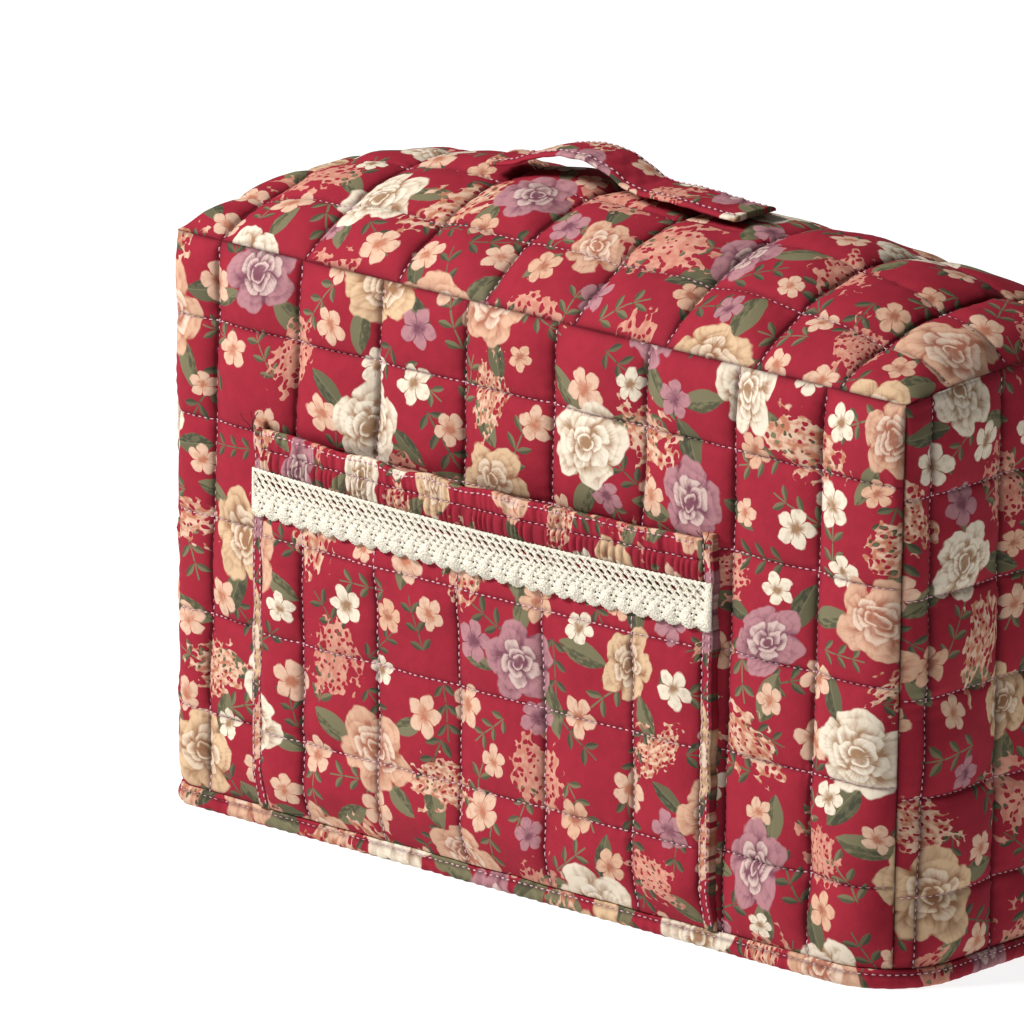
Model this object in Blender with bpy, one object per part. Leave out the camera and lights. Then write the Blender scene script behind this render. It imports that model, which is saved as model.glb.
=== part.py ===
"""A quilted cover for a sewing machine, in metres, with +Z up and the front towards -Y.

Each piece of cloth is one closed solid: four walls, a crowned top, a binding round the hem,
and a gathered pocket with a lace trim and a carrying strap. The origin is under the middle
of the cover, on the floor it stands on.
"""

from math import pi

import bpy
import numpy as np
from mathutils.geometry import delaunay_2d_cdt

# Seam to seam sizes of the box, measured in the stitched grooves
WIDTH = 0.437
DEPTH = 0.164
SEAM_HEIGHT = 0.273
CROWN = 0.030
CROWN_POWER = 4.2
SIDE_SEAM_RISE = 0.004
TOP_CORNER = 0.0015
RIGHT_FOOT_CORNER = 0.038
LEFT_FOOT_CORNER = 0.012
LEFT_CORNER_POWER = 0.5

# Cloth and wadding
CLOTH = 0.0022
PAD = 0.005
NARROW = 0.034
INNER_PAD = 0.0014
LINE_SHARE = 0.3
CELL_SPLIT = (0.24, 0.76)
CELL_FULL = (0.95, 0.95)
PIECE_GAP = 0.0003
MITRE = 0.00011

# Quilting lines, as distances from the left seam and down from the top seam
FRONT_COLUMNS = (0.028, 0.078, 0.128, 0.180, 0.233, 0.288, 0.341, 0.391)
BACK_COLUMNS = (0.038, 0.089, 0.140, 0.192, 0.244, 0.296, 0.348, 0.399)
SIDE_COLUMNS = (0.017, 0.064, 0.111)
TOP_COLUMNS = (0.028, 0.080, 0.137, 0.189, 0.243, 0.297, 0.350, 0.399)
TOP_ROWS = (0.031, 0.070, 0.116)
FRONT_ROWS = (0.038, 0.085, 0.1315, 0.178, 0.225)
SIDE_ROWS = (0.044, 0.091, 0.1375, 0.184, 0.230)
COLUMN_SLANT = 0.02

# Hem binding
HEM_TOP = 0.009
WALL_FOOT = 0.0022
HEM_BULGE = 0.0026
HEM_INNER = 0.0012

# Patch pocket, in metres from the middle of the front
POCKET_LEFT = -0.163
POCKET_RIGHT = 0.115
POCKET_TOP = 0.192
POCKET_FOOT = 0.0095
POCKET_EDGE = 0.007
POCKET_PAD = 0.003
POCKET_STAND = 0.0052
POCKET_GAPE = 0.009
POCKET_COLUMNS = (-0.131, -0.084, -0.034, 0.017, 0.070)
POCKET_ROWS = (POCKET_FOOT, 0.048, 0.095, 0.1415, 0.1515)
CASING_FOOT = 0.1725
CASING_PAD = 0.0022

# Lace
LACE_TOP = 0.1720
LACE_FOOT = 0.1525
LACE_THICK = 0.0009
LACE_REPEAT = 0.009
EYELET_LONG = 0.0046
EYELET_WIDE = 0.0024
EYELET_DROP = 0.0048
SCALLOP_DROP = 0.0022

# Carrying strap: stations along the width and clear height over the top
STRAP_WIDE = 0.028
STRAP_THICK = 0.0028
STRAP_PATH = (
    (-0.090, 0.0004),
    (-0.084, 0.0006),
    (-0.078, 0.0014),
    (-0.072, 0.0036),
    (-0.066, 0.0058),
    (-0.060, 0.0079),
    (-0.053, 0.0100),
    (-0.045, 0.0115),
    (-0.037, 0.0121),
    (-0.029, 0.0117),
    (-0.021, 0.0098),
    (-0.014, 0.0068),
    (-0.008, 0.0038),
    (-0.002, 0.0018),
    (0.006, 0.0014),
    (0.016, 0.0019),
    (0.026, 0.0020),
    (0.038, 0.0012),
    (0.050, 0.0004),
    (0.060, 0.0004),
)

CLOTH_COLOUR = (0.52, 0.035, 0.07, 1.0)
LACE_COLOUR = (0.84, 0.78, 0.66, 1.0)


def clear_scene():
    """Takes away whatever the startup scene holds."""
    for thing in list(bpy.data.objects):
        bpy.data.objects.remove(thing, do_unlink=True)


def material_of(name, colour, roughness):
    """A plain surface with its colour and roughness."""
    made = bpy.data.materials.new(name)
    made.use_nodes = True
    surface = made.node_tree.nodes["Principled BSDF"]
    surface.inputs["Base Color"].default_value = colour
    surface.inputs["Roughness"].default_value = roughness
    return made


def add_object(name, points, faces, material):
    """One smooth shaded mesh object."""
    mesh = bpy.data.meshes.new(name)
    mesh.from_pydata([tuple(p) for p in points], [], [tuple(f) for f in faces])
    mesh.materials.append(material)
    mesh.update()
    mesh.shade_smooth()
    made = bpy.data.objects.new(name, mesh)
    bpy.context.scene.collection.objects.link(made)
    return made


def slab(name, outer, inner, material):
    """Joins two grids of points into a closed solid; outer is seen with i to the right and j up."""
    across, up = outer.shape[:2]
    count = across * up
    points = np.concatenate([outer.reshape(-1, 3), inner.reshape(-1, 3)])
    number = np.arange(count).reshape(across, up)
    faces = []
    for i in range(across - 1):
        for j in range(up - 1):
            a = number[i, j]
            b = number[i + 1, j]
            c = number[i + 1, j + 1]
            d = number[i, j + 1]
            if (i + j) % 2:
                faces += [(a, b, c), (a, c, d)]
                faces += [(count + a, count + c, count + b), (count + a, count + d, count + c)]
            else:
                faces += [(a, b, d), (b, c, d)]
                faces += [(count + a, count + d, count + b), (count + b, count + d, count + c)]
    rim = list(number[:, 0])
    rim += list(number[-1, 1:])
    rim += list(number[-2::-1, -1])
    rim += list(number[0, -2:0:-1])
    for k, a in enumerate(rim):
        b = rim[(k + 1) % len(rim)]
        faces += [(a, count + a, count + b), (a, count + b, b)]
    return add_object(name, points, faces, material)


def corner_radius(turn, along, z):
    """The rounding of the nearer upright corner: wider towards the hem, and on the right."""
    fall = 1.0 - np.clip(z / SEAM_HEIGHT, 0.0, 1.0)
    on_left = {0: along < 0, 1: along != along, 2: along > 0, 3: along == along}[turn]
    foot = np.where(on_left, LEFT_FOOT_CORNER, RIGHT_FOOT_CORNER)
    power = np.where(on_left, LEFT_CORNER_POWER, 1.0)
    return TOP_CORNER + (foot - TOP_CORNER) * fall**power


def half_sizes(turn):
    """Half of the wall's own width, and its distance from the middle."""
    if turn % 2 == 0:
        return WIDTH / 2, DEPTH / 2
    return DEPTH / 2, WIDTH / 2


def wall_end(turn, along, z):
    """Distance along the cloth from the middle of a wall to the seam on one side of it."""
    half = half_sizes(turn)[0]
    radius = corner_radius(turn, along, z)
    return half - radius + radius * pi / 4


def wall_point(turn, along, z, out):
    """A point on a wall: turn 0 is the front, 1 the right, 2 the back and 3 the left."""
    half, away = half_sizes(turn)
    radius = corner_radius(turn, along, z)
    straight = half - radius
    angle = np.clip((np.abs(along) - straight) / radius, 0.0, pi / 4)
    x = np.clip(along, -straight, straight)
    x = x + np.sign(along) * (radius + out) * np.sin(angle)
    y = -(away - radius) - (radius + out) * np.cos(angle)
    for _ in range(turn):
        x, y = -y, x
    return np.stack([x, y, z + 0.0 * x], axis=-1)


def seam_height(turn, share):
    """Height of the seam between a wall and the top; share runs from -1 to 1 along it."""
    if turn % 2 == 0:
        return SEAM_HEIGHT + 0.0 * share
    return SEAM_HEIGHT + SIDE_SEAM_RISE * (1.0 - share**2)


def split(breaks, shares):
    """Adds points between neighbouring breaks, each given as a share of the way."""
    values = [breaks[0]]
    for low, high in zip(breaks, breaks[1:]):
        for share in shares:
            values.append(low + (high - low) * share)
        values.append(high)
    return np.array(values)


def heights_of(cells, profile, first, last):
    """How full the wadding is at each grid line, with both ends given."""
    values = [first]
    for _ in range(cells):
        values += list(profile)
        values.append(0.0)
    values[-1] = last
    return np.array(values)


def narrow_share(line):
    """Less wadding height in a cell that is narrow, at each grid column of a line of columns."""
    shares = np.zeros(len(line))
    for k in range(0, len(line) - 1, 3):
        wide = abs(line[k + 3] - line[k])
        shares[k + 1] = shares[k + 2] = min(1.0, wide / NARROW)
    return shares


def wall_stations(turn, columns, z):
    """Distances along a wall of its grid columns, from seam to seam, at one height."""
    half = half_sizes(turn)[0]
    first = -wall_end(turn, -1.0, z) + PIECE_GAP / 2
    last = wall_end(turn, 1.0, z) - PIECE_GAP / 2
    drift = COLUMN_SLANT * (SEAM_HEIGHT - z) if turn == 0 else 0.0
    lines = [np.clip(c - half - drift, first + 0.008, last - 0.008) for c in columns]
    return split([first] + lines + [last], CELL_SPLIT)


def wall(name, turn, columns, rows, material):
    """One upright wall, from its two corner seams and from the hem to the top seam."""
    row_breaks = [HEM_TOP] + [SEAM_HEIGHT - r for r in reversed(rows)] + [SEAM_HEIGHT]
    z_rows = np.concatenate([[WALL_FOOT], split(row_breaks, (0.5,))])
    row_full = heights_of(len(row_breaks) - 1, (1.0,), 0.0, 0.0)
    row_share = LINE_SHARE + (1.0 - LINE_SHARE) * row_full
    row_share[0] = 0.0
    row_share[-1] = 0.0
    row_share = np.concatenate([[0.0], row_share])
    column_full = heights_of(len(columns) + 1, CELL_FULL, 0.0, 0.0)
    outer = np.zeros((len(column_full), len(z_rows), 3))
    inner = np.zeros_like(outer)
    for j, z in enumerate(z_rows):
        along = wall_stations(turn, columns, z)
        top = seam_height(turn, along / wall_end(turn, along, z))
        height = z + (top - SEAM_HEIGHT) * np.clip((z - row_breaks[-2]) / rows[0], 0, 1)
        puff = column_full * narrow_share(along) * row_share[j]
        last = j == len(z_rows) - 1
        shift = MITRE if last else 0.0
        fold = CLOTH if last else 0.0
        outer[:, j] = wall_point(turn, along, height - shift, PAD * puff + shift)
        inner[:, j] = wall_point(
            turn, along, height - shift - fold, shift - CLOTH - INNER_PAD * puff
        )
    slab(name, outer, inner, material)
    return outer


def top_base(u, v, out, drop):
    """The top's base surface between the four seams, without its crown."""
    u = np.asarray(u, float)
    v = np.asarray(v, float)

    def edge(turn, share):
        z = seam_height(turn, share)
        point = wall_point(turn, share * wall_end(turn, share, SEAM_HEIGHT), SEAM_HEIGHT, out)
        point[..., 2] = z - drop
        return point

    front = edge(0, 2 * u - 1)
    back = edge(2, 1 - 2 * u)
    left = edge(3, 1 - 2 * v)
    right = edge(1, 2 * v - 1)
    a = u[..., None]
    b = v[..., None]
    corners = [edge(0, np.array(s)) for s in (-1.0, 1.0)]
    corners += [edge(2, np.array(s)) for s in (1.0, -1.0)]
    flat = (1 - a) * (1 - b) * corners[0] + a * (1 - b) * corners[1]
    flat = flat + (1 - a) * b * corners[2] + a * b * corners[3]
    return (1 - b) * front + b * back + (1 - a) * left + a * right - flat


def crowned(u, v):
    """The top's surface at the stitched lines."""
    point = top_base(u, v, 0.0, 0.0)
    rise = CROWN * (1 - (2 * v - 1) ** 2) * (1 - np.abs(2 * u - 1) ** CROWN_POWER)
    point[..., 2] += rise
    return point


def crown_normal(u, v):
    """Unit normals of the crowned surface."""
    step = 1e-3
    low_u = np.clip(u - step, 0, 1)
    high_u = np.clip(u + step, 0, 1)
    low_v = np.clip(v - step, 0, 1)
    high_v = np.clip(v + step, 0, 1)
    along = crowned(high_u, v) - crowned(low_u, v)
    back = crowned(u, high_v) - crowned(u, low_v)
    normal = np.cross(along, back)
    return normal / np.linalg.norm(normal, axis=-1, keepdims=True)


def top_panel(name, material):
    """The crowned top, sewn to all four walls."""
    u_line = split([0.0] + [c / WIDTH for c in TOP_COLUMNS] + [1.0], CELL_SPLIT)
    v_line = split([0.0] + [r / DEPTH for r in TOP_ROWS] + [1.0], (0.5,))
    column_full = heights_of(len(TOP_COLUMNS) + 1, CELL_FULL, 0.0, 0.0)
    row_share = LINE_SHARE + (1 - LINE_SHARE) * heights_of(len(TOP_ROWS) + 1, (1.0,), 0.0, 0.0)
    row_share[0] = 0.0
    row_share[-1] = 0.0
    u, v = np.meshgrid(u_line, v_line, indexing="ij")
    puff = column_full[:, None] * row_share[None, :]
    base = crowned(u, v)
    normal = crown_normal(u, v)
    outer = base + normal * (PAD * puff)[..., None]
    inner = base - normal * (CLOTH + INNER_PAD * puff)[..., None]
    rim = np.zeros(u.shape, bool)
    rim[0] = rim[-1] = True
    rim[:, 0] = rim[:, -1] = True
    outer[rim] = top_base(u, v, -MITRE, -MITRE)[rim]
    inner[rim] = top_base(u, v, -MITRE - CLOTH, CLOTH - MITRE)[rim]
    slab(name, outer, inner, material)
    return outer


def hem_binding(name, walls, material):
    """A folded strip round the lower edge, as one closed ring with a U section."""
    profile = (
        (PIECE_GAP, HEM_TOP),
        (PIECE_GAP + 0.0013, HEM_TOP),
        (PIECE_GAP + HEM_BULGE, 0.0055),
        (PIECE_GAP + HEM_BULGE * 0.9, 0.0022),
        (PIECE_GAP + HEM_BULGE * 0.3, 0.0),
        (-CLOTH - PIECE_GAP, 0.0),
        (-CLOTH - PIECE_GAP - HEM_INNER, 0.0014),
        (-CLOTH - PIECE_GAP - HEM_INNER, HEM_TOP),
        (-CLOTH - PIECE_GAP, HEM_TOP),
        (-CLOTH - PIECE_GAP, WALL_FOOT - PIECE_GAP),
        (PIECE_GAP, WALL_FOOT - PIECE_GAP),
    )
    stations = []
    for turn, columns in enumerate(walls):
        share = wall_stations(turn, columns, HEM_TOP)
        full = wall_end(turn, share, HEM_TOP)
        straight = (half_sizes(turn)[0] - corner_radius(turn, share, 0.0)) / full
        share = share / full
        bend = np.abs(share) > straight - 0.02
        keep = bend | np.roll(bend, 1) | np.roll(bend, -1) | (np.arange(len(share)) % 3 == 0)
        share[-1] = 1.0
        keep[0] = False
        stations += [(turn, s) for s in share[keep]]
    count = len(profile)
    points = []
    for turn, share in stations:
        for out, z in profile:
            along = np.array(share * wall_end(turn, share, z))
            points.append(wall_point(turn, along, z, out))
    faces = []
    for k in range(len(stations)):
        follow = (k + 1) % len(stations)
        for j in range(count):
            step = (j + 1) % count
            a = k * count + j
            b = follow * count + j
            c = follow * count + step
            d = k * count + step
            faces += [(a, c, b), (a, d, c)]
    return add_object(name, points, faces, material)


def pocket_stand(x, z):
    """How far the pocket's back stands off the front's stitched plane."""
    low = np.clip((z - HEM_TOP) / 0.0195, 0.08, 1.0)
    share = np.clip((x - POCKET_LEFT) / (POCKET_RIGHT - POCKET_LEFT), 0.0, 1.0)
    up = np.clip((z - 0.07) / (POCKET_TOP - 0.07), 0.0, 1.0)
    gape = POCKET_GAPE * (1.0 - (2.0 * share - 1.0) ** 2) * up**1.4
    return POCKET_STAND * low + gape


def on_pocket(x, z, out):
    """A point in front of the pocket's back."""
    return np.stack([x, -DEPTH / 2 - pocket_stand(x, z) - out, z], axis=-1)


def pocket_panel(name, material):
    """The quilted pocket between its two edge strips."""
    low = POCKET_LEFT + POCKET_EDGE + PIECE_GAP
    high = POCKET_RIGHT - POCKET_EDGE - PIECE_GAP
    x_line = split([low] + list(POCKET_COLUMNS) + [high], CELL_SPLIT)
    column_full = heights_of(len(POCKET_COLUMNS) + 1, CELL_FULL, 0.0, 0.0)
    z_line = np.concatenate([split(POCKET_ROWS[:4], (0.5,)), [0.1465, 0.1515, 0.162]])
    z_line = np.concatenate([z_line, [CASING_FOOT - PIECE_GAP]])
    row_share = np.array([0.0, 1.0, LINE_SHARE, 1.0, LINE_SHARE, 1.0, LINE_SHARE, 0.3, 0.0, 0.0, 0.0])
    x, z = np.meshgrid(x_line, z_line, indexing="ij")
    puff = column_full[:, None] * row_share[None, :]
    outer = on_pocket(x, z, CLOTH - 0.0002 + POCKET_PAD * puff)
    inner = on_pocket(x, z, 0.0 * puff)
    return slab(name, outer, inner, material)


def pocket_casing(name, material):
    """The gathered header and elastic channel along the pocket's mouth."""
    low = POCKET_LEFT + POCKET_EDGE + PIECE_GAP
    high = POCKET_RIGHT - POCKET_EDGE - PIECE_GAP
    x_line = np.linspace(low, high, 31)
    z_line = np.array([CASING_FOOT, 0.1768, 0.1815, 0.1868, POCKET_TOP])
    full = np.array([0.0, 0.9, 0.15, 1.0, 0.35])
    ripple = np.where(np.arange(31) % 2, 1.0, 0.72)
    x, z = np.meshgrid(x_line, z_line, indexing="ij")
    puff = ripple[:, None] * full[None, :]
    outer = on_pocket(x, z, CLOTH - 0.0002 + CASING_PAD * puff)
    inner = on_pocket(x, z, 0.0 * puff)
    return slab(name, outer, inner, material)


def surface_over(outer, x, z, reach):
    """The most forward the front's cloth comes within reach of a point."""
    near = np.abs(outer[..., 0] - x) < 0.04
    columns = np.where(near.any(axis=1))[0]
    best = 0.0
    for dx in (-reach, 0.0, reach):
        for dz in (-reach, 0.0, reach):
            at = []
            for i in columns:
                line = outer[i]
                at.append((np.interp(z + dz, line[:, 2], line[:, 0]),
                           np.interp(z + dz, line[:, 2], line[:, 1])))
            at = np.array(at)
            best = min(best, np.interp(x + dx, at[:, 0], at[:, 1]))
    return best


def edge_strip(name, left, outer, material):
    """A narrow strip that sews one side of the pocket down."""
    x_line = np.array([left, left + POCKET_EDGE / 2, left + POCKET_EDGE])
    z_line = np.linspace(POCKET_FOOT, POCKET_TOP + 0.003, 29)
    x, z = np.meshgrid(x_line, z_line, indexing="ij")
    side = POCKET_LEFT if left < 0 else POCKET_RIGHT
    stand = pocket_stand(side + 0 * x, z)
    front = np.stack([x, -DEPTH / 2 - stand - CLOTH + 0.0002, z], axis=-1)
    back = np.zeros_like(front)
    for i in range(x.shape[0]):
        for j in range(x.shape[1]):
            y = surface_over(outer, x[i, j], z[i, j], 0.0035) - PIECE_GAP
            back[i, j] = (x[i, j], y, z[i, j])
    front[..., 1] = np.minimum(front[..., 1], back[..., 1] - 0.0012)
    return slab(name, front, back, material)


def lace_trim(name, material):
    """The lace band: a scalloped strip with its row of large eyelets cut through."""
    repeats = int((POCKET_RIGHT - POCKET_LEFT) / LACE_REPEAT)
    pitch = (POCKET_RIGHT - POCKET_LEFT) / repeats
    outline = []
    for k in range(repeats * 4):
        x = POCKET_LEFT + pitch * k / 4
        drop = SCALLOP_DROP * abs(np.sin(pi * k / 4)) if k else 0.0
        outline.append((x, LACE_FOOT - drop))
    outline.append((POCKET_RIGHT, LACE_FOOT))
    outline.append((POCKET_RIGHT, 0.5 * (LACE_FOOT + LACE_TOP)))
    for k in range(repeats, -1, -1):
        outline.append((POCKET_LEFT + pitch * k, LACE_TOP))
    outline.append((POCKET_LEFT, 0.5 * (LACE_FOOT + LACE_TOP)))
    loops = [outline]
    centres = []
    turn = np.array([[np.cos(-0.5), -np.sin(-0.5)], [np.sin(-0.5), np.cos(-0.5)]])
    for k in range(repeats):
        centre = np.array([POCKET_LEFT + pitch * (k + 0.5), LACE_TOP - EYELET_DROP])
        centres.append(centre)
        loop = []
        for corner in range(6):
            angle = pi * corner / 3
            spot = np.array([EYELET_LONG / 2 * np.cos(angle), EYELET_WIDE / 2 * np.sin(angle) / 0.866])
            loop.append(tuple(centre + turn @ spot))
        loops.append(loop)
    flat = []
    edges = []
    for loop in loops:
        start = len(flat)
        flat += loop
        edges += [(start + k, start + (k + 1) % len(loop)) for k in range(len(loop))]
    made = delaunay_2d_cdt(flat, edges, [], 1, 1e-7)
    spots = np.array([tuple(p) for p in made[0]])
    faces = []
    for face in made[2]:
        middle = spots[list(face)].mean(axis=0)
        local = (turn.T @ (middle - np.array(centres)).T).T
        inside = (local[:, 0] / EYELET_LONG) ** 2 + (local[:, 1] / EYELET_WIDE) ** 2 < 0.19
        if not inside.any():
            faces.append(tuple(face))
    count = len(spots)
    near = CLOTH - 0.0002 + PIECE_GAP
    back = on_pocket(spots[:, 0], spots[:, 1], near + 0 * spots[:, 0])
    front = on_pocket(spots[:, 0], spots[:, 1], near + LACE_THICK + 0 * spots[:, 0])
    points = np.concatenate([front, back])
    solid = []
    sides = {}
    for face in faces:
        a, b, c = [spots[k] for k in face]
        area = (b[0] - a[0]) * (c[1] - a[1]) - (b[1] - a[1]) * (c[0] - a[0])
        ring = face if area > 0 else face[::-1]
        solid.append(ring)
        solid.append(tuple(count + k for k in ring[::-1]))
        for k in range(3):
            sides[(ring[k], ring[(k + 1) % 3])] = True
    for a, b in sides:
        if (b, a) not in sides:
            solid += [(a, count + a, count + b), (a, count + b, b)]
    return add_object(name, points, solid, material)


def top_height(outer, x, reach):
    """The highest that the top comes under the strap near a station."""
    near = (np.abs(outer[..., 0] - x) < reach) & (np.abs(outer[..., 1]) < STRAP_WIDE)
    return outer[near][:, 2].max()


def handle_strap(name, outer, material):
    """The carrying strap: an arch, a fold, and a flatter length down to its sewn end."""
    stations = np.array(STRAP_PATH)
    heights = np.array([top_height(outer, x, 0.016) for x in stations[:, 0]])
    heights = 0.5 * heights + 0.5 * heights.max()
    low = np.stack([stations[:, 0], heights + PIECE_GAP + stations[:, 1]], axis=-1)
    along = np.gradient(low, axis=0)
    along /= np.linalg.norm(along, axis=1, keepdims=True)
    lift = np.stack([-along[:, 1], along[:, 0]], axis=-1) * STRAP_THICK
    y_line = np.linspace(-STRAP_WIDE / 2, STRAP_WIDE / 2, 3)
    bow = np.array([0.0, 0.0006, 0.0])
    upper = np.zeros((len(low), 3, 3))
    lower = np.zeros_like(upper)
    for j, y in enumerate(y_line):
        lower[:, j] = np.stack([low[:, 0], y + 0 * low[:, 0], low[:, 1]], axis=-1)
        top = low + lift
        upper[:, j] = np.stack([top[:, 0], y + 0 * low[:, 0], top[:, 1] + bow[j]], axis=-1)
    return slab(name, upper, lower, material)


def centre_all():
    """Moves every piece so that the middle of the whole outline stands on the origin."""
    pieces = [o for o in bpy.data.objects if o.type == "MESH"]
    corners = []
    for piece in pieces:
        spots = np.zeros(len(piece.data.vertices) * 3)
        piece.data.vertices.foreach_get("co", spots)
        corners.append(spots.reshape(-1, 3))
    every = np.concatenate(corners)
    middle = (every.max(axis=0) + every.min(axis=0)) / 2
    for piece, spots in zip(pieces, corners):
        moved = spots - np.array([middle[0], middle[1], 0.0])
        piece.data.vertices.foreach_set("co", moved.ravel())
        piece.data.update()


def main():
    clear_scene()
    cloth = material_of("quilted_cotton", CLOTH_COLOUR, 0.85)
    binding = material_of("binding_cotton", CLOTH_COLOUR, 0.85)
    cotton_lace = material_of("cotton_lace", LACE_COLOUR, 0.9)
    front_face = wall("front_panel", 0, FRONT_COLUMNS, FRONT_ROWS, cloth)
    wall("right_side_panel", 1, SIDE_COLUMNS, SIDE_ROWS, cloth)
    wall("back_panel", 2, BACK_COLUMNS, FRONT_ROWS, cloth)
    wall("left_side_panel", 3, SIDE_COLUMNS, SIDE_ROWS, cloth)
    top_face = top_panel("top_panel", cloth)
    walls = (FRONT_COLUMNS, SIDE_COLUMNS, BACK_COLUMNS, SIDE_COLUMNS)
    hem_binding("hem_binding", walls, binding)
    pocket_panel("pocket_panel", cloth)
    pocket_casing("pocket_casing", cloth)
    edge_strip("pocket_edge_left", POCKET_LEFT, front_face, binding)
    edge_strip("pocket_edge_right", POCKET_RIGHT - POCKET_EDGE, front_face, binding)
    lace_trim("lace_trim", cotton_lace)
    handle_strap("handle_strap", top_face, binding)
    centre_all()


main()
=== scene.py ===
"""A quilted floral cover for a sewing machine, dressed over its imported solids.

Every cloth panel, the hem binding, the pocket, the lace and the carrying strap are finely
modelled here in metres, in the frame of the solids, with the front towards -Y.
"""

from math import pi, radians

import bpy
import numpy as np
from mathutils import Matrix, Vector
from mathutils.geometry import delaunay_2d_cdt


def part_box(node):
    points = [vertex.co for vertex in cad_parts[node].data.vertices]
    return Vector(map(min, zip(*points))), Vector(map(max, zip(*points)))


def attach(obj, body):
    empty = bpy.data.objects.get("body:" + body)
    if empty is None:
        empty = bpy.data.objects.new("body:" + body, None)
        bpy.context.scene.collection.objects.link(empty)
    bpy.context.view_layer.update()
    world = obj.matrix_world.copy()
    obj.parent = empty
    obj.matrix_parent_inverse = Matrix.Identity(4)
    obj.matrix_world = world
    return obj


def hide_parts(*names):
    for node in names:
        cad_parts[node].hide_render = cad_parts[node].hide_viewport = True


# Seam to seam sizes of the box, as in the solids
WIDTH = 0.437
DEPTH = 0.164
SEAM_HEIGHT = 0.273
CROWN = 0.030
CROWN_POWER = 4.2
SIDE_SEAM_RISE = 0.004
TOP_CORNER = 0.0015
RIGHT_FOOT_CORNER = 0.038
LEFT_FOOT_CORNER = 0.012
LEFT_CORNER_POWER = 0.5
CLOTH = 0.0022
PAD = 0.0066
INNER_PAD = 0.0014
SEAM_OVERLAP = 0.00005
NARROW = 0.034
LINE_SHARE = 0.40

# Quilting lines, as distances from the left seam and down from the top seam
FRONT_COLUMNS = (0.028, 0.078, 0.128, 0.180, 0.233, 0.288, 0.341, 0.391)
BACK_COLUMNS = (0.038, 0.089, 0.140, 0.192, 0.244, 0.296, 0.348, 0.399)
SIDE_COLUMNS = (0.017, 0.064, 0.111)
TOP_COLUMNS = (0.028, 0.080, 0.137, 0.189, 0.243, 0.297, 0.350, 0.399)
TOP_ROWS = (0.031, 0.070, 0.116)
FRONT_ROWS = (0.038, 0.085, 0.1315, 0.178, 0.225)
SIDE_ROWS = (0.044, 0.091, 0.1375, 0.184, 0.230)
COLUMN_SLANT = 0.02

HEM_TOP = 0.009
WALL_FOOT = 0.0022
HEM_BULGE = 0.0028

POCKET_LEFT = -0.163
POCKET_RIGHT = 0.115
POCKET_TOP = 0.192
POCKET_FOOT = 0.0095
POCKET_EDGE = 0.007
POCKET_PAD = 0.0044
POCKET_STAND = 0.0052
POCKET_GAPE = 0.009
POCKET_COLUMNS = (-0.131, -0.084, -0.034, 0.017, 0.070)
POCKET_ROWS = (POCKET_FOOT, 0.048, 0.095, 0.1415, 0.1515, 0.1722)
CASING_FOOT = 0.1722
CASING_LINE = 0.1822
GATHER_PITCH = 0.0039
SEAM_SINK = 0.0002

LACE_TOP = 0.1725
LACE_THICK = 0.0008
LACE_REPEAT = 0.009
LACE_TALL = 0.0207

# Rows of holes in the lace: depth, length, width, slant, spacing and start
LACE_ROWS = (
    (0.0026, 0.0036, 0.0014, 0.55, 0.0045, 0.0),
    (0.0052, 0.0040, 0.0017, 0.55, 0.0045, 0.5),
    (0.0079, 0.0034, 0.0014, 0.55, 0.0045, 0.0),
    (0.0106, 0.0020, 0.0009, 0.30, 0.0045, 0.5),
    (0.0128, 0.0017, 0.0008, 0.30, 0.0045, 0.0),
    (0.0156, 0.0016, 0.0010, -0.5, 0.0090, 0.35),
    (0.0156, 0.0016, 0.0010, 0.5, 0.0090, 0.65),
    (0.0182, 0.0018, 0.0010, 0.0, 0.0090, 0.5),
)

STRAP_WIDE = 0.028
STRAP_THICK = 0.0026
STRAP_PATH = (
    (-0.090, 0.0004),
    (-0.084, 0.0006),
    (-0.078, 0.0014),
    (-0.072, 0.0036),
    (-0.066, 0.0058),
    (-0.060, 0.0079),
    (-0.053, 0.0100),
    (-0.045, 0.0115),
    (-0.037, 0.0121),
    (-0.029, 0.0117),
    (-0.021, 0.0098),
    (-0.014, 0.0068),
    (-0.008, 0.0038),
    (-0.002, 0.0018),
    (0.006, 0.0014),
    (0.016, 0.0019),
    (0.026, 0.0020),
    (0.038, 0.0012),
    (0.050, 0.0004),
    (0.060, 0.0004),
)

# Fineness of the cloth meshes
CLOTH_STEP = 0.0020
HEM_STEP = 0.0016
LINE_SPACE = 0.008
STITCH_LONG = 0.0024
STITCH_GAP = 0.0011
STITCH_RADIUS = 0.00033
# Painted shade along stitched lines: strengths and widths beside columns, rows and seams
CREASE_SHADE_STRENGTHS = (1.0, 0.5, 0.75)
CREASE_SHADE_WIDTHS = (0.0014, 0.0009, 0.0010)

# Where loose thread ends stand: along, up and out of the front
THREAD_ENDS = (
    (POCKET_LEFT + 0.002, POCKET_TOP - 0.002, 0.010),
    (POCKET_RIGHT - 0.003, POCKET_TOP - 0.004, 0.010),
)

# Studio light
ROOM_LIGHT = 0.12
KEY_POWER = 190.0
FLOOR_GLOW = 0.86

# Camera, fitted to the photograph's seams
CAMERA_AZIMUTH = 41.55
CAMERA_ELEVATION = 15.894
CAMERA_ROLL = 0.591
CAMERA_DISTANCE = 6.435
CAMERA_LENS = 498.3
CAMERA_AIM = (0.0, 0.0, 0.150)
CAMERA_ASIDE = -0.0585
CAMERA_ABOVE = 0.0154

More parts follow.
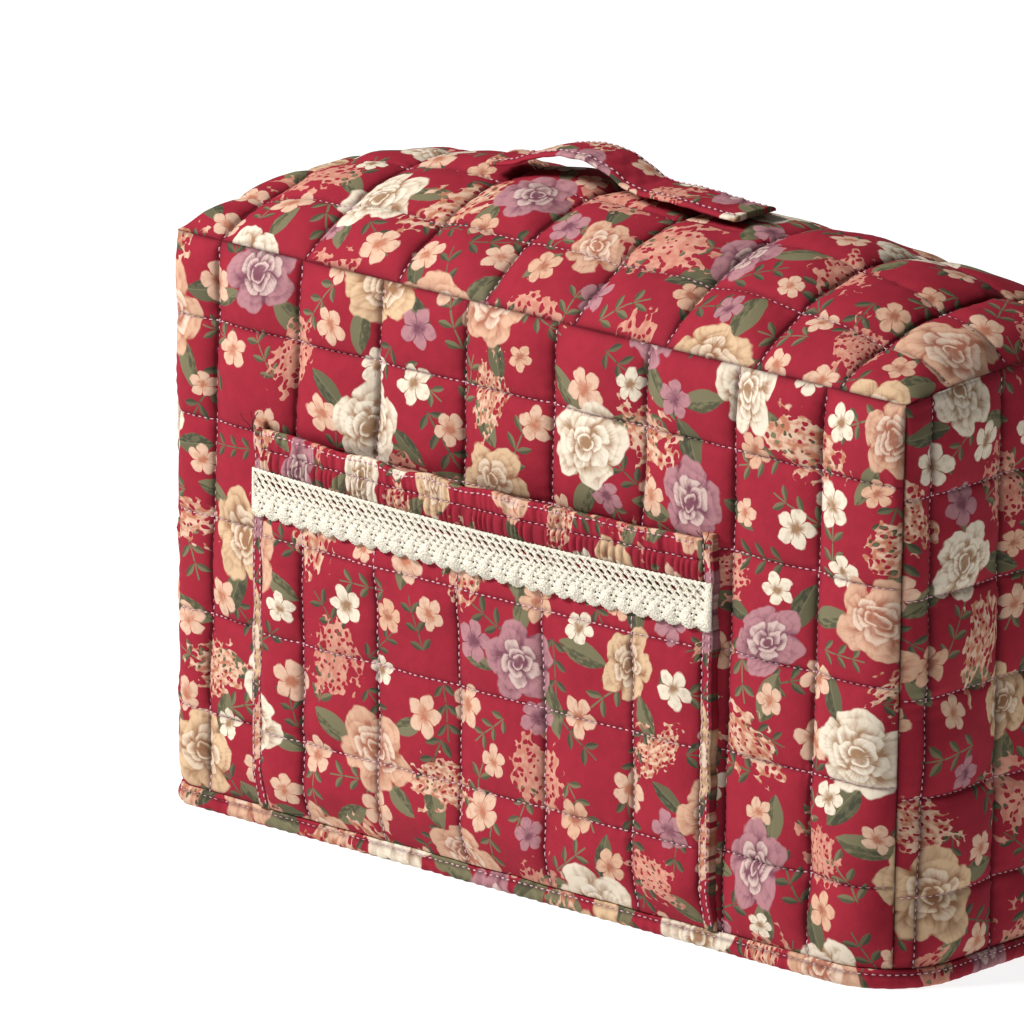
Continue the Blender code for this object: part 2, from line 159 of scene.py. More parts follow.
RED = (0.262, 0.0115, 0.0245, 1.0)
RED_SLUB = (0.340, 0.030, 0.050, 1.0)
LINING = (0.22, 0.012, 0.026, 1.0)
THREAD = (0.62, 0.36, 0.41, 1.0)
DARK_THREAD = (0.05, 0.008, 0.014, 1.0)
LACE = (0.74, 0.69, 0.58, 1.0)
# Painted shade between the lace's cords
LACE_SHADE = (0.60, 0.54, 0.43, 1.0)
# Colour multiplied into the cloth as painted shade beside stitched lines, seams and gathers
CREASE_SHADE = (0.22, 0.16, 0.18, 1.0)

# Inks of the print, light and dark
CREAM = ((0.66, 0.57, 0.45), (0.27, 0.15, 0.08))
PEACH = ((0.55, 0.33, 0.22), (0.31, 0.11, 0.065))
TAN = ((0.56, 0.38, 0.23), (0.25, 0.12, 0.06))
MAUVE = ((0.36, 0.17, 0.185), (0.15, 0.050, 0.072))
BLOSSOM = ((0.58, 0.38, 0.27), (0.38, 0.14, 0.08))
PALE = (0.70, 0.62, 0.51, 1.0)
CORAL = ((0.52, 0.25, 0.18), (0.44, 0.17, 0.12))
OLIVE = ((0.150, 0.132, 0.072), (0.072, 0.068, 0.038))
DARK_OLIVE = ((0.100, 0.092, 0.050), (0.048, 0.048, 0.030))

# Petal rings of a rose: radius, half the number of petals, depth of the notches and turn
ROSE_RINGS = (
    (1.00, 2.5, 0.34, 7.0),
    (0.78, 2.0, 0.30, 19.0),
    (0.58, 2.5, 0.28, 31.0),
    (0.40, 1.5, 0.34, 43.0),
    (0.22, 1.0, 0.40, 59.0),
)

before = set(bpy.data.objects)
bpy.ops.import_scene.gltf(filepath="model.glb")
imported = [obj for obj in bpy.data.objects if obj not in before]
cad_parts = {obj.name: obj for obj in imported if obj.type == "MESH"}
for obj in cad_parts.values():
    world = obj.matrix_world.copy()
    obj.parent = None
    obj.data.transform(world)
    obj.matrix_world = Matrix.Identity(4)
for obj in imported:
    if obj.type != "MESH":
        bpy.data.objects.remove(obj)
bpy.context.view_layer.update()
top_low, top_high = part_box("top_panel")
MIDDLE = np.array([(top_low[0] + top_high[0]) / 2, (top_low[1] + top_high[1]) / 2, 0.0])
BODY = "root"


# Shapes of the cloth


def corner_radius(turn, along, z):
    """The rounding of the nearer upright corner: wider towards the hem, and on the right."""
    fall = 1.0 - np.clip(z / SEAM_HEIGHT, 0.0, 1.0)
    on_left = {0: along < 0, 1: along != along, 2: along > 0, 3: along == along}[turn]
    foot = np.where(on_left, LEFT_FOOT_CORNER, RIGHT_FOOT_CORNER)
    power = np.where(on_left, LEFT_CORNER_POWER, 1.0)
    return TOP_CORNER + (foot - TOP_CORNER) * fall**power


def half_sizes(turn):
    """Half of the wall's own width, and its distance from the middle."""
    if turn % 2 == 0:
        return WIDTH / 2, DEPTH / 2
    return DEPTH / 2, WIDTH / 2


def wall_end(turn, along, z):
    """Distance along the cloth from the middle of a wall to the seam on one side of it."""
    half = half_sizes(turn)[0]
    radius = corner_radius(turn, along, z)
    return half - radius + radius * pi / 4


def wall_point(turn, along, z, out):
    """A point on a wall: turn 0 is the front, 1 the right, 2 the back and 3 the left."""
    half, away = half_sizes(turn)
    radius = corner_radius(turn, along, z)
    straight = half - radius
    angle = np.clip((np.abs(along) - straight) / radius, 0.0, pi / 4)
    x = np.clip(along, -straight, straight)
    x = x + np.sign(along) * (radius + out) * np.sin(angle)
    y = -(away - radius) - (radius + out) * np.cos(angle)
    for _ in range(turn):
        x, y = -y, x
    return np.stack([x, y, z + 0.0 * x], axis=-1)


def seam_height(turn, share):
    """Height of the seam between a wall and the top; share runs from -1 to 1 along it."""
    if turn % 2 == 0:
        return SEAM_HEIGHT + 0.0 * share
    return SEAM_HEIGHT + SIDE_SEAM_RISE * (1.0 - share**2)


def fine_line(breaks, step, gathered=0.6):
    """Grid values through every break, closest together beside it, with cells and places."""
    values, cells, places = [], [], []
    for k, (low, high) in enumerate(zip(breaks, breaks[1:])):
        count = max(4, int(round(abs(high - low) / step)))
        for n in range(count):
            place = n / count - gathered * np.sin(2 * pi * n / count) / (2 * pi)
            values.append(low + (high - low) * place)
            cells.append(k)
            places.append(place)
    values.append(breaks[-1])
    cells.append(len(breaks) - 2)
    places.append(1.0)
    return np.array(values), np.array(cells), np.array(places)


def fullness(place, sharp, power):
    """How full the wadding stands between two lines of stitching."""
    return (1.0 - np.abs(2.0 * place - 1.0) ** sharp) ** power


def ripples(seed, length, waves, reach):
    """A smooth uneven line of values, about -1 to 1, along a seam."""
    random = np.random.default_rng(seed)
    total = np.zeros_like(length)
    for _ in range(waves):
        wave = random.uniform(0.6, 1.6) * 2 * pi / reach
        total = total + np.sin(length * wave + random.uniform(0, 2 * pi))
    return total / np.sqrt(waves)


def puckers(seed, along, across, cross_lines, along_lines):
    """Small gathers beside each stitched line, and soft dents all over, in metres."""
    total = np.zeros(np.broadcast(along, across).shape)
    for k, line in enumerate(cross_lines):
        near = np.exp(-np.abs(across - line) / 0.0050)
        total += 0.00034 * near * ripples(seed + k, along, 4, 0.0062)
    for k, line in enumerate(along_lines):
        near = np.exp(-np.abs(along - line) / 0.0055)
        total += 0.00042 * near * ripples(seed + 40 + k, across, 4, 0.0070)
    random = np.random.default_rng(seed + 90)
    for _ in range(7):
        wave = 2 * pi / random.uniform(0.022, 0.050)
        turn = random.uniform(0, 2 * pi)
        way = along * np.cos(turn) + across * np.sin(turn)
        total = total + 0.00022 * np.sin(way * wave + random.uniform(0, 2 * pi))
    return total


def crease_shade_of(distances, strengths, widths):
    """How much painted shade a point gets beside the nearest stitched line, from 0 to 1."""
    deepest = np.zeros(np.broadcast(*distances).shape)
    for far, strength, width in zip(distances, strengths, widths):
        deepest = np.maximum(deepest, strength * np.exp(-np.abs(far) / width))
    return deepest


def nearest_line(values, lines):
    """Distance from each value to the nearest of some lines."""
    return np.min(np.abs(np.asarray(values)[..., None] - np.asarray(lines)), axis=-1)


def cell_swell(seed, columns, rows, cell_u, cell_v):
    """Every quilted cell is filled a little differently."""
    random = np.random.default_rng(seed)
    return random.uniform(0.84, 1.08, (columns, rows))[np.ix_(cell_u, cell_v)]


def wall_grids(turn, columns, rows, seed):
    """Outer and inner points of a quilted wall, and its cloth coordinates."""
    half = half_sizes(turn)[0]
    row_breaks = [HEM_TOP] + [SEAM_HEIGHT - r for r in reversed(rows)] + [SEAM_HEIGHT]
    z_line, z_cell, z_place = fine_line(row_breaks, CLOTH_STEP)
    foot = np.linspace(WALL_FOOT, HEM_TOP, 4)[:-1]
    breaks = [0.0] + list(columns) + [2 * half]
    _, u_cell, u_place = fine_line(breaks, CLOTH_STEP)
    row_full = fullness(z_place, 3.0, 0.5)
    row_share = LINE_SHARE + (1.0 - LINE_SHARE) * row_full
    low_end = z_cell == 0
    row_share[low_end] *= np.clip(z_place[low_end] / 0.4, 0, 1) ** 0.5
    high_end = z_cell == len(row_breaks) - 2
    row_share[high_end] *= np.clip((1 - z_place[high_end]) / 0.3, 0, 1) ** 0.5
    swell = cell_swell(seed, len(breaks) - 1, len(row_breaks) - 1, u_cell, z_cell)
    z_line = np.concatenate([foot, z_line])
    row_share = np.concatenate([np.zeros(3), row_share])
    swell = np.concatenate([np.repeat(swell[:, :1], 3, axis=1), swell], axis=1)
    outer = np.zeros((len(u_cell), len(z_line), 3))
    inner = np.zeros_like(outer)
    spots = np.zeros((len(u_cell), len(z_line), 3))
    column_full = fullness(u_place, 2.3, 0.55)
    for j, z in enumerate(z_line):
        first = -wall_end(turn, -1.0, z) - SEAM_OVERLAP
        last = wall_end(turn, 1.0, z) + SEAM_OVERLAP
        drift = COLUMN_SLANT * (SEAM_HEIGHT - z) if turn == 0 else 0.0
        lines = [np.clip(c - half - drift, first + LINE_SPACE, last - LINE_SPACE) for c in columns]
        edges = np.array([first] + lines + [last])
        end = np.where(edges[u_cell] + (edges[u_cell + 1] - edges[u_cell]) * u_place < 0, -first, last)
        along = edges[u_cell] + (edges[u_cell + 1] - edges[u_cell]) * u_place
        wide = np.minimum(1.0, np.abs(edges[u_cell + 1] - edges[u_cell]) / NARROW)
        top = seam_height(turn, along / end)
        height = z + (top - SEAM_HEIGHT) * np.clip((z - row_breaks[-2]) / rows[0], 0, 1)
        puff = column_full * wide * row_share[j] * swell[:, j]
        inside = np.clip((end - np.abs(along)) / 0.004, 0, 1)
        inside = inside * np.clip((z - HEM_TOP) / 0.004, 0, 1)
        inside = inside * np.clip((SEAM_HEIGHT - z) / 0.003, 0, 1)
        lines_z = row_breaks[1:-1] + [SEAM_HEIGHT - 0.001]
        gather = puckers(seed, along, z, lines_z, edges) * inside
        outer[:, j] = wall_point(turn, along, height, PAD * puff + gather)
        fold = CLOTH if j == len(z_line) - 1 else 0.0
        inner[:, j] = wall_point(turn, along, height - fold, -CLOTH - INNER_PAD * puff)
        spots[:, j, 0] = along
        spots[:, j, 1] = z
        far_column = nearest_line(along, edges[1:-1])
        far_row = np.min(np.abs(z - np.array(row_breaks[1:-1])))
        far_seam = np.minimum(end - np.abs(along), np.minimum(SEAM_HEIGHT - z, np.abs(z - HEM_TOP)))
        # Painted shade beside the quilting lines and seams
        spots[:, j, 2] = crease_shade_of((far_column, far_row + 0 * along, far_seam), CREASE_SHADE_STRENGTHS, CREASE_SHADE_WIDTHS)
    lines = {
        "columns": [int(np.argmax(u_cell == k)) for k in range(1, len(breaks) - 1)],
        "rows": [3 + int(np.argmax(z_cell == k)) for k in range(1, len(row_breaks) - 1)],
        "hem": 3,
    }
    return outer, inner, spots, lines


def top_base(u, v, out, drop):
    """The top's base surface between the four seams, without its crown."""

    def edge(turn, share):
        point = wall_point(turn, share * wall_end(turn, share, SEAM_HEIGHT), SEAM_HEIGHT, out)
        point[..., 2] = seam_height(turn, share) - drop
        return point

    front = edge(0, 2 * u - 1)
    back = edge(2, 1 - 2 * u)
    left = edge(3, 1 - 2 * v)
    right = edge(1, 2 * v - 1)
    a = u[..., None]
    b = v[..., None]
    corners = [edge(0, np.array(s)) for s in (-1.0, 1.0)]
    corners += [edge(2, np.array(s)) for s in (1.0, -1.0)]
    flat = (1 - a) * (1 - b) * corners[0] + a * (1 - b) * corners[1]
    flat = flat + (1 - a) * b * corners[2] + a * b * corners[3]
    return (1 - b) * front + b * back + (1 - a) * left + a * right - flat


def crowned(u, v):
    """The top's surface at the stitched lines."""
    point = top_base(u, v, 0.0, 0.0)
    rise = CROWN * (1 - (2 * v - 1) ** 2) * (1 - np.abs(2 * u - 1) ** CROWN_POWER)
    point[..., 2] += rise
    return point


def crown_normal(u, v):
    """Unit normals of the crowned surface."""
    step = 1e-3
    along = crowned(np.clip(u + step, 0, 1), v) - crowned(np.clip(u - step, 0, 1), v)
    back = crowned(u, np.clip(v + step, 0, 1)) - crowned(u, np.clip(v - step, 0, 1))
    normal = np.cross(along, back)
    return normal / np.linalg.norm(normal, axis=-1, keepdims=True)


def top_grids(seed):
    """Outer and inner points of the crowned top, and its cloth coordinates."""
    u_breaks = [0.0] + [c / WIDTH for c in TOP_COLUMNS] + [1.0]
    v_breaks = [0.0] + [r / DEPTH for r in TOP_ROWS] + [1.0]
    u_line, u_cell, u_place = fine_line(u_breaks, CLOTH_STEP / WIDTH)
    v_line, v_cell, v_place = fine_line(v_breaks, CLOTH_STEP / DEPTH)
    u, v = np.meshgrid(u_line, v_line, indexing="ij")
    row_share = LINE_SHARE + (1.0 - LINE_SHARE) * fullness(v_place, 3.0, 0.5)
    rim = np.minimum(v_line, 1 - v_line) * DEPTH
    row_share = row_share * np.clip(rim / 0.012, 0, 1) ** 0.5
    swell = cell_swell(seed, len(u_breaks) - 1, len(v_breaks) - 1, u_cell, v_cell)
    puff = fullness(u_place, 2.3, 0.55)[:, None] * row_share[None, :] * swell
    side = np.minimum(u_line, 1 - u_line) * WIDTH
    puff = puff * (np.clip(side / 0.012, 0, 1) ** 0.5)[:, None]
    lines_v = np.array(v_breaks[1:-1]) * DEPTH
    lines_u = np.array(u_breaks[1:-1]) * WIDTH
    gather = puckers(seed, u * WIDTH, v * DEPTH, lines_v, lines_u)
    gather = gather * np.clip(np.minimum(rim[None, :], side[:, None]) / 0.004, 0, 1)
    base = crowned(u, v)
    normal = crown_normal(u, v)
    outer = base + normal * (PAD * puff + gather)[..., None]
    inner = base - normal * (CLOTH + INNER_PAD * puff)[..., None]
    edge = np.zeros(u.shape, bool)
    edge[0] = edge[-1] = True
    edge[:, 0] = edge[:, -1] = True
    outer[edge] = top_base(u, v, SEAM_OVERLAP, 0.0)[edge]
    inner[edge] = top_base(u, v, -CLOTH, CLOTH)[edge]
    steps = np.linalg.norm(np.diff(base[len(u) // 2], axis=0), axis=1)
    length = np.concatenate([[0.0], np.cumsum(steps)])
    far_column = nearest_line(u * WIDTH, lines_u)
    far_row = nearest_line(v * DEPTH, lines_v)
    far_seam = np.minimum(rim[None, :], side[:, None]) + 0 * u
    # Painted shade beside the quilting lines and seams
    painted_shade = crease_shade_of((far_column, far_row, far_seam), CREASE_SHADE_STRENGTHS, CREASE_SHADE_WIDTHS)
    spots = np.stack([u * WIDTH, 0 * v + length[None, :], painted_shade], axis=-1)
    lines = {
        "columns": [int(np.argmax(u_cell == k)) for k in range(1, len(u_breaks) - 1)],
        "rows": [int(np.argmax(v_cell == k)) for k in range(1, len(v_breaks) - 1)],
    }
    return outer, inner, spots, lines


def pocket_stand(x, z):
    """How far the pocket's back stands off the front's stitched plane."""
    low = np.clip((z - HEM_TOP) / 0.0195, 0.08, 1.0)
    share = np.clip((x - POCKET_LEFT) / (POCKET_RIGHT - POCKET_LEFT), 0.0, 1.0)
    up = np.clip((z - 0.07) / (POCKET_TOP - 0.07), 0.0, 1.0)
    gape = POCKET_GAPE * (1.0 - (2.0 * share - 1.0) ** 2) * up**1.4
    return POCKET_STAND * low + gape


def on_pocket(x, z, out):
    """A point in front of the pocket's back."""
    return np.stack([x, -DEPTH / 2 - pocket_stand(x, z) - out, z + 0.0 * x], axis=-1)


def pocket_grids(seed):
    """Outer and inner points of the quilted pocket between its edge strips."""
    low = POCKET_LEFT + POCKET_EDGE - 0.001
    high = POCKET_RIGHT - POCKET_EDGE + 0.001
    x_breaks = [low] + list(POCKET_COLUMNS) + [high]
    x_line, x_cell, x_place = fine_line(x_breaks, CLOTH_STEP * 0.9)
    z_line, z_cell, z_place = fine_line(list(POCKET_ROWS), CLOTH_STEP * 0.9)
    x, z = np.meshgrid(x_line, z_line, indexing="ij")
    share = LINE_SHARE + (1.0 - LINE_SHARE) * fullness(z_place, 3.0, 0.5)
    share = share * np.where(z_cell == 3, 0.4 * (1 - z_place), 1.0)
    share = np.where(z_cell == 4, 0.0, share)
    share[z_cell == 0] *= np.clip(z_place[z_cell == 0] / 0.4, 0, 1) ** 0.5
    swell = cell_swell(seed, len(x_breaks) - 1, 5, x_cell, z_cell)
    puff = fullness(x_place, 2.3, 0.55)[:, None] * share[None, :] * swell
    gather = puckers(seed, x, z, POCKET_ROWS[1:4], POCKET_COLUMNS)
    gather = gather * np.clip((0.1715 - z) / 0.02, 0, 1)
    outer = on_pocket(x, z, CLOTH - SEAM_SINK + POCKET_PAD * puff + gather)
    inner = on_pocket(x, z, 0.0 * puff)
    far_column = nearest_line(x, POCKET_COLUMNS) + np.where(z > POCKET_ROWS[3], 0.01, 0.0)
    far_row = nearest_line(z, POCKET_ROWS[1:4])
    far_edge = np.minimum(x - low, high - x)
    # Painted shade beside the pocket's quilting lines and edge strips
    spots = np.stack([x, z, crease_shade_of((far_column, far_row, far_edge), CREASE_SHADE_STRENGTHS, CREASE_SHADE_WIDTHS)], axis=-1)
    lines = {
        "columns": [int(np.argmax(x_cell == k)) for k in range(1, len(x_breaks) - 1)],
        "rows": [int(np.argmax(z_cell == k)) for k in range(1, 4)],
    }
    return outer, inner, spots, lines


def casing_grids(seed):
    """The elastic channel along the pocket's mouth, tightly gathered, and its header."""
    low = POCKET_LEFT + POCKET_EDGE - 0.001
    high = POCKET_RIGHT - POCKET_EDGE + 0.001
    x_line = np.linspace(low, high, 620)
    z_breaks = [CASING_FOOT, CASING_LINE, POCKET_TOP]
    z_line, z_cell, z_place = fine_line(z_breaks, 0.0009)
    x, z = np.meshgrid(x_line, z_line, indexing="ij")
    full = fullness(z_place, 2.2, 0.5)
    channel = z_cell == 0
    phase = pi * x / GATHER_PITCH + 1.3 * ripples(seed, x, 3, 0.031)
    ridge = np.abs(np.sin(phase)) ** 0.7
    ridge = ridge * (0.75 + 0.25 * ripples(seed + 1, x, 3, 0.017))
    loose = ripples(seed + 2, x, 4, 0.0125) * 0.0005 + ripples(seed + 3, x, 3, 0.005) * 0.00022
    rolled = np.where(z_place > 0.5, np.maximum(full, 0.6), full)
    out = np.where(channel, full * (0.0012 + 0.0016 * ridge), 0.0012 * rolled + loose * (0.3 + full))
    out = out + np.where(channel, 0.0, 0.0007 * (ridge - 0.5) * np.exp(-z_place * 3.0))
    outer = on_pocket(x, z, CLOTH - SEAM_SINK + out)
    outer[..., 2] += 0.0007 * ripples(seed + 4, x, 3, 0.028) * np.where(channel, 0.0, z_place)
    inner = on_pocket(x, z, 0.0 * x)
    inner[..., 2] = outer[..., 2]
    far = np.abs(z - CASING_LINE)
    # Painted shade beside the casing's stitching, in the valleys between gathers and along the channel's
    # foot
    valley_shade = np.where(channel, 0.8 * (1.0 - ridge) ** 2, 0.0) + 0 * x
    painted_shade = np.maximum(crease_shade_of((far,), (0.6,), (0.0007,)), valley_shade)
    painted_shade = np.maximum(painted_shade, 0.8 * np.exp(-(z - CASING_FOOT) / 0.001))
    spots = np.stack([x * 1.6, z, painted_shade], axis=-1)
    lines = {"rows": [int(np.argmax(z_cell == 1)), int(np.argmax(z > POCKET_TOP - 0.0022))]}
    return outer, inner, spots, lines


def edge_grids(left, seed):
    """A narrow folded strip that sews one side of the pocket down."""
    x_line = np.linspace(left, left + POCKET_EDGE, 9)
    z_line = np.linspace(POCKET_FOOT, POCKET_TOP + 0.003, 110)
    x, z = np.meshgrid(x_line, z_line, indexing="ij")
    side = POCKET_LEFT if left < 0 else POCKET_RIGHT
    share = (x - left) / POCKET_EDGE
    round_off = 0.0007 * (1 - np.abs(2 * share - 1) ** 3)
    wave = 0.00028 * ripples(seed, z, 4, 0.011) * (1 - (2 * share - 1) ** 4)
    stand = pocket_stand(side + 0 * x, z)
    front = np.stack([x, -DEPTH / 2 - stand - CLOTH + SEAM_SINK - round_off - wave, z], axis=-1)
    front[..., 0] += 0.0004 * ripples(seed + 1, z, 3, 0.035)
    back = front.copy()
    back[..., 1] = -DEPTH / 2 - 0.0016 + 0 * x
    # Painted shade along both folded edges of the strip
    painted_shade = np.maximum(0.7 * np.exp(-share * 7.0), 0.7 * np.exp(-(1 - share) * 7.0))
    spots = np.stack([x, z, painted_shade], axis=-1)
    lines = {"columns": [2, 6]}
    return front, back, spots, lines


def strap_grids(top_face, seed):
    """The carrying strap: an arch, a fold, and a flatter length down to its sewn end."""
    stations = np.array(STRAP_PATH)
    heights = []
    for x in stations[:, 0]:
        near = (np.abs(top_face[..., 0] - x) < 0.016) & (np.abs(top_face[..., 1]) < STRAP_WIDE)
        heights.append(top_face[near][:, 2].max())
    heights = 0.5 * np.array(heights) + 0.5 * max(heights)
    rough = np.stack([stations[:, 0], heights + 0.0003 + stations[:, 1]], axis=-1)
    steps = np.concatenate([[0.0], np.cumsum(np.linalg.norm(np.diff(rough, axis=0), axis=1))])
    fine = np.linspace(0.0, steps[-1], 110)
    low = np.stack([np.interp(fine, steps, rough[:, k]) for k in (0, 1)], axis=-1)
    for _ in range(6):
        low[1:-1] = 0.25 * low[:-2] + 0.5 * low[1:-1] + 0.25 * low[2:]
    along = np.gradient(low, axis=0)
    along /= np.linalg.norm(along, axis=1, keepdims=True)
    lift = np.stack([-along[:, 1], along[:, 0]], axis=-1)
    share = np.linspace(-1.0, 1.0, 21)
    thick = STRAP_THICK * (1 - 0.45 * np.abs(share) ** 8)
    outer = np.zeros((len(low), len(share), 3))
    inner = np.zeros_like(outer)
    for j, s in enumerate(share):
        wave = 0.00022 * ripples(seed + j // 4, fine, 4, 0.012)
        bow = 0.0007 * (1 - s**2)
        upper = low + lift * (thick[j] + bow + wave)[:, None]
        under = low + lift * (0.35 * (STRAP_THICK - thick[j]) + bow * 0.4 + wave)[:, None]
        y = STRAP_WIDE / 2 * s * (1 + 0.012 * ripples(seed + 9, fine, 3, 0.04))
        outer[:, j] = np.stack([upper[:, 0], y, upper[:, 1]], axis=-1)
        inner[:, j] = np.stack([under[:, 0], y, under[:, 1]], axis=-1)
    far = STRAP_WIDE / 2 * (1 - np.abs(share))
    # Painted shade along the strap's two stitched lines
    painted_shade = 0.5 * np.exp(-np.abs(far - 0.0028) / 0.0007)[None, :] + 0 * outer[..., 0]
    spots = np.stack([fine[:, None] + 0 * painted_shade, outer[..., 1], painted_shade], axis=-1)
    lines = {"rows": [2, len(share) - 3]}
    return outer, inner, spots, lines


# Meshes


def grid_faces(across, up, start, flipped):
    """Quads of a grid of points, as seen with i to the right and j up."""
    number = start + np.arange(across * up).reshape(across, up)
    faces = np.stack([number[:-1, :-1], number[1:, :-1], number[1:, 1:], number[:-1, 1:]], axis=-1)
    faces = faces.reshape(-1, 4)
    return faces[:, ::-1] if flipped else faces


def mesh_object(name, points, faces, materials, numbers=None):
    """A smooth mesh piece that rides on the cover's body."""
    mesh = bpy.data.meshes.new(name)
    mesh.from_pydata([tuple(p) for p in points], [], [tuple(f) for f in faces])
    for material in materials:
        mesh.materials.append(material)
    if numbers is not None:
        mesh.polygons.foreach_set("material_index", np.asarray(numbers, dtype=np.int32))
    mesh.update()
    mesh.shade_smooth()
    made = bpy.data.objects.new(name, mesh)
    bpy.context.scene.collection.objects.link(made)
    return made


def cloth_piece(name, outer, inner, spots, materials, print_seed):
    """A closed piece of cloth with its print laid on in cloth coordinates, and painted shade along its
    stitched lines.
    """
    across, up = outer.shape[:2]
    count = across * up
    points = np.concatenate([outer.reshape(-1, 3), inner.reshape(-1, 3)]) + MIDDLE
    front = grid_faces(across, up, 0, False)
    back = grid_faces(across, up, count, True)
    number = np.arange(count).reshape(across, up)
    rim = np.concatenate([number[:, 0], number[-1, 1:], number[-2::-1, -1], number[0, -2:0:-1]])
    follow = np.roll(rim, -1)
    sides = np.stack([rim, rim + count, follow + count, follow], axis=-1)
    faces = np.concatenate([front, back, sides])
    numbers = np.zeros(len(faces), dtype=np.int32)
    numbers[len(front) : len(front) + len(back)] = 1
    made = mesh_object(name, points, faces, materials, numbers)
    flat = np.concatenate([spots[..., :2].reshape(-1, 2)] * 2)
    lay_print(made.data, flat, faces, print_seed)
    # Painted shade, on the outer points only
    shade_creases(made.data, np.concatenate([spots[..., 2].ravel(), np.zeros(count)]))
    return made


def shade_creases(mesh, values):
    """Stores how much painted shade each point gets beside a stitched line."""
    made = mesh.attributes.new("painted_shade", "FLOAT", "POINT")
    made.data.foreach_set("value", values.astype(np.float32))


# The print: stamps scattered over the cloth, each with its own inks


def scatter(random, low, high, spacing, avoid=(), clear=0.0):
    """Points about evenly spread over a rectangle, none closer than spacing."""
    found = []
    area = (high[0] - low[0]) * (high[1] - low[1])
    for _ in range(int(60 * area / spacing**2)):
        spot = random.uniform(low, high)
        if found and np.min(np.linalg.norm(np.array(found) - spot, axis=1)) < spacing:
            continue
        if len(avoid) and np.min(np.linalg.norm(np.asarray(avoid) - spot, axis=1)) < clear:
            continue
        found.append(spot)
    return np.array(found).reshape(-1, 2)


def stamps_of(kind, random, spots, sizes, squash, inks):
    """Stamps of one layer: places, turns, half sizes, seeds and inks."""
    count = len(spots)
    size = random.uniform(sizes[0], sizes[1], count)
    flat = random.uniform(squash[0], squash[1], count)
    pick = random.integers(0, len(inks), count)
    return {
        "kind": kind,
        "spots": spots,
        "turns": random.uniform(0, 2 * pi, count),
        "half": np.stack([size, size * flat], axis=-1),
        "seeds": random.uniform(0, 1, count),
        "light": np.array([inks[k][0] for k in pick]),
        "dark": np.array([inks[k][1] for k in pick]),
    }


def stamps_for(low, high, seed):
    """All layers of the print for one cut of cloth."""
    random = np.random.default_rng(seed)
    margin = 0.012
    low = np.array(low) - margin
    high = np.array(high) + margin
    roses = scatter(random, low, high, 0.062)
    sprays = scatter(random, low, high, 0.060, roses, 0.034)
    blossoms = scatter(random, low, high, 0.026, np.concatenate([roses, sprays]), 0.025)
    inks = (CREAM, CREAM, PEACH, TAN, MAUVE)
    layers = [stamps_of("rose", random, roses, (0.0185, 0.0255), (0.70, 0.95), inks)]
    inks = (BLOSSOM, BLOSSOM, PEACH, BLOSSOM, CREAM, MAUVE)
    layers.append(stamps_of("blossom", random, blossoms, (0.0075, 0.0118), (0.80, 1.0), inks))
    layers.append(stamps_of("spray", random, sprays, (0.018, 0.029), (0.50, 0.75), (CORAL, BLOSSOM)))
    around = []
    turns = []
    for spot in roses:
        start = random.uniform(0, 2 * pi)
        for k in range(3):
            angle = start + 2 * pi * (k + random.uniform(-0.2, 0.2)) / 3
            around.append(spot + 0.026 * np.array([np.cos(angle), np.sin(angle)]))
            turns.append(angle + random.uniform(-0.5, 0.5))
    around = np.array(around).reshape(-1, 2)
    leaves = stamps_of("leaf", random, around, (0.0105, 0.0145), (0.38, 0.50), (OLIVE, OLIVE, DARK_OLIVE))
    leaves["turns"] = np.array(turns)
    layers.append(leaves)
    between = scatter(random, low, high, 0.027, np.concatenate([roses, around]), 0.018)
    layers.append(stamps_of("sprig", random, between, (0.0115, 0.0155), (0.62, 0.8), (OLIVE, DARK_OLIVE)))
    return layers


def lay_print(mesh, flat, faces, seed):
    """Stores, at each face corner, where it lies on the nearest stamp of each layer."""
    middles = flat[faces].mean(axis=1)
    corners = faces.reshape(-1)
    for layer in stamps_for(flat.min(axis=0), flat.max(axis=0), seed):
        cos_turn = np.cos(layer["turns"])
        sin_turn = np.sin(layer["turns"])

        def local(spots, index):
            away = spots - layer["spots"][index]
            x = (away[:, 0] * cos_turn[index] + away[:, 1] * sin_turn[index]) / layer["half"][index, 0]
            y = (away[:, 1] * cos_turn[index] - away[:, 0] * sin_turn[index]) / layer["half"][index, 1]
            return x, y

        best = np.full(len(middles), 1e9)
        index = np.zeros(len(middles), dtype=int)
        for k in range(len(layer["spots"])):
            x, y = local(middles, np.full(len(middles), k))
            far = np.hypot(x, y)
            near = far < best
            best[near] = far[near]
            index[near] = k
        spread = np.repeat(index, 4)
        x, y = local(flat[corners], spread)
        values = np.stack([x, y, layer["seeds"][spread]], axis=-1)
        made = mesh.attributes.new(layer["kind"], "FLOAT_VECTOR", "CORNER")
        made.data.foreach_set("vector", values.astype(np.float32).ravel())
        for shade in ("light", "dark"):
            made = mesh.attributes.new(f"{layer['kind']}_{shade}", "FLOAT_VECTOR", "FACE")
            made.data.foreach_set("vector", layer[shade][index].astype(np.float32).ravel())


# Materials


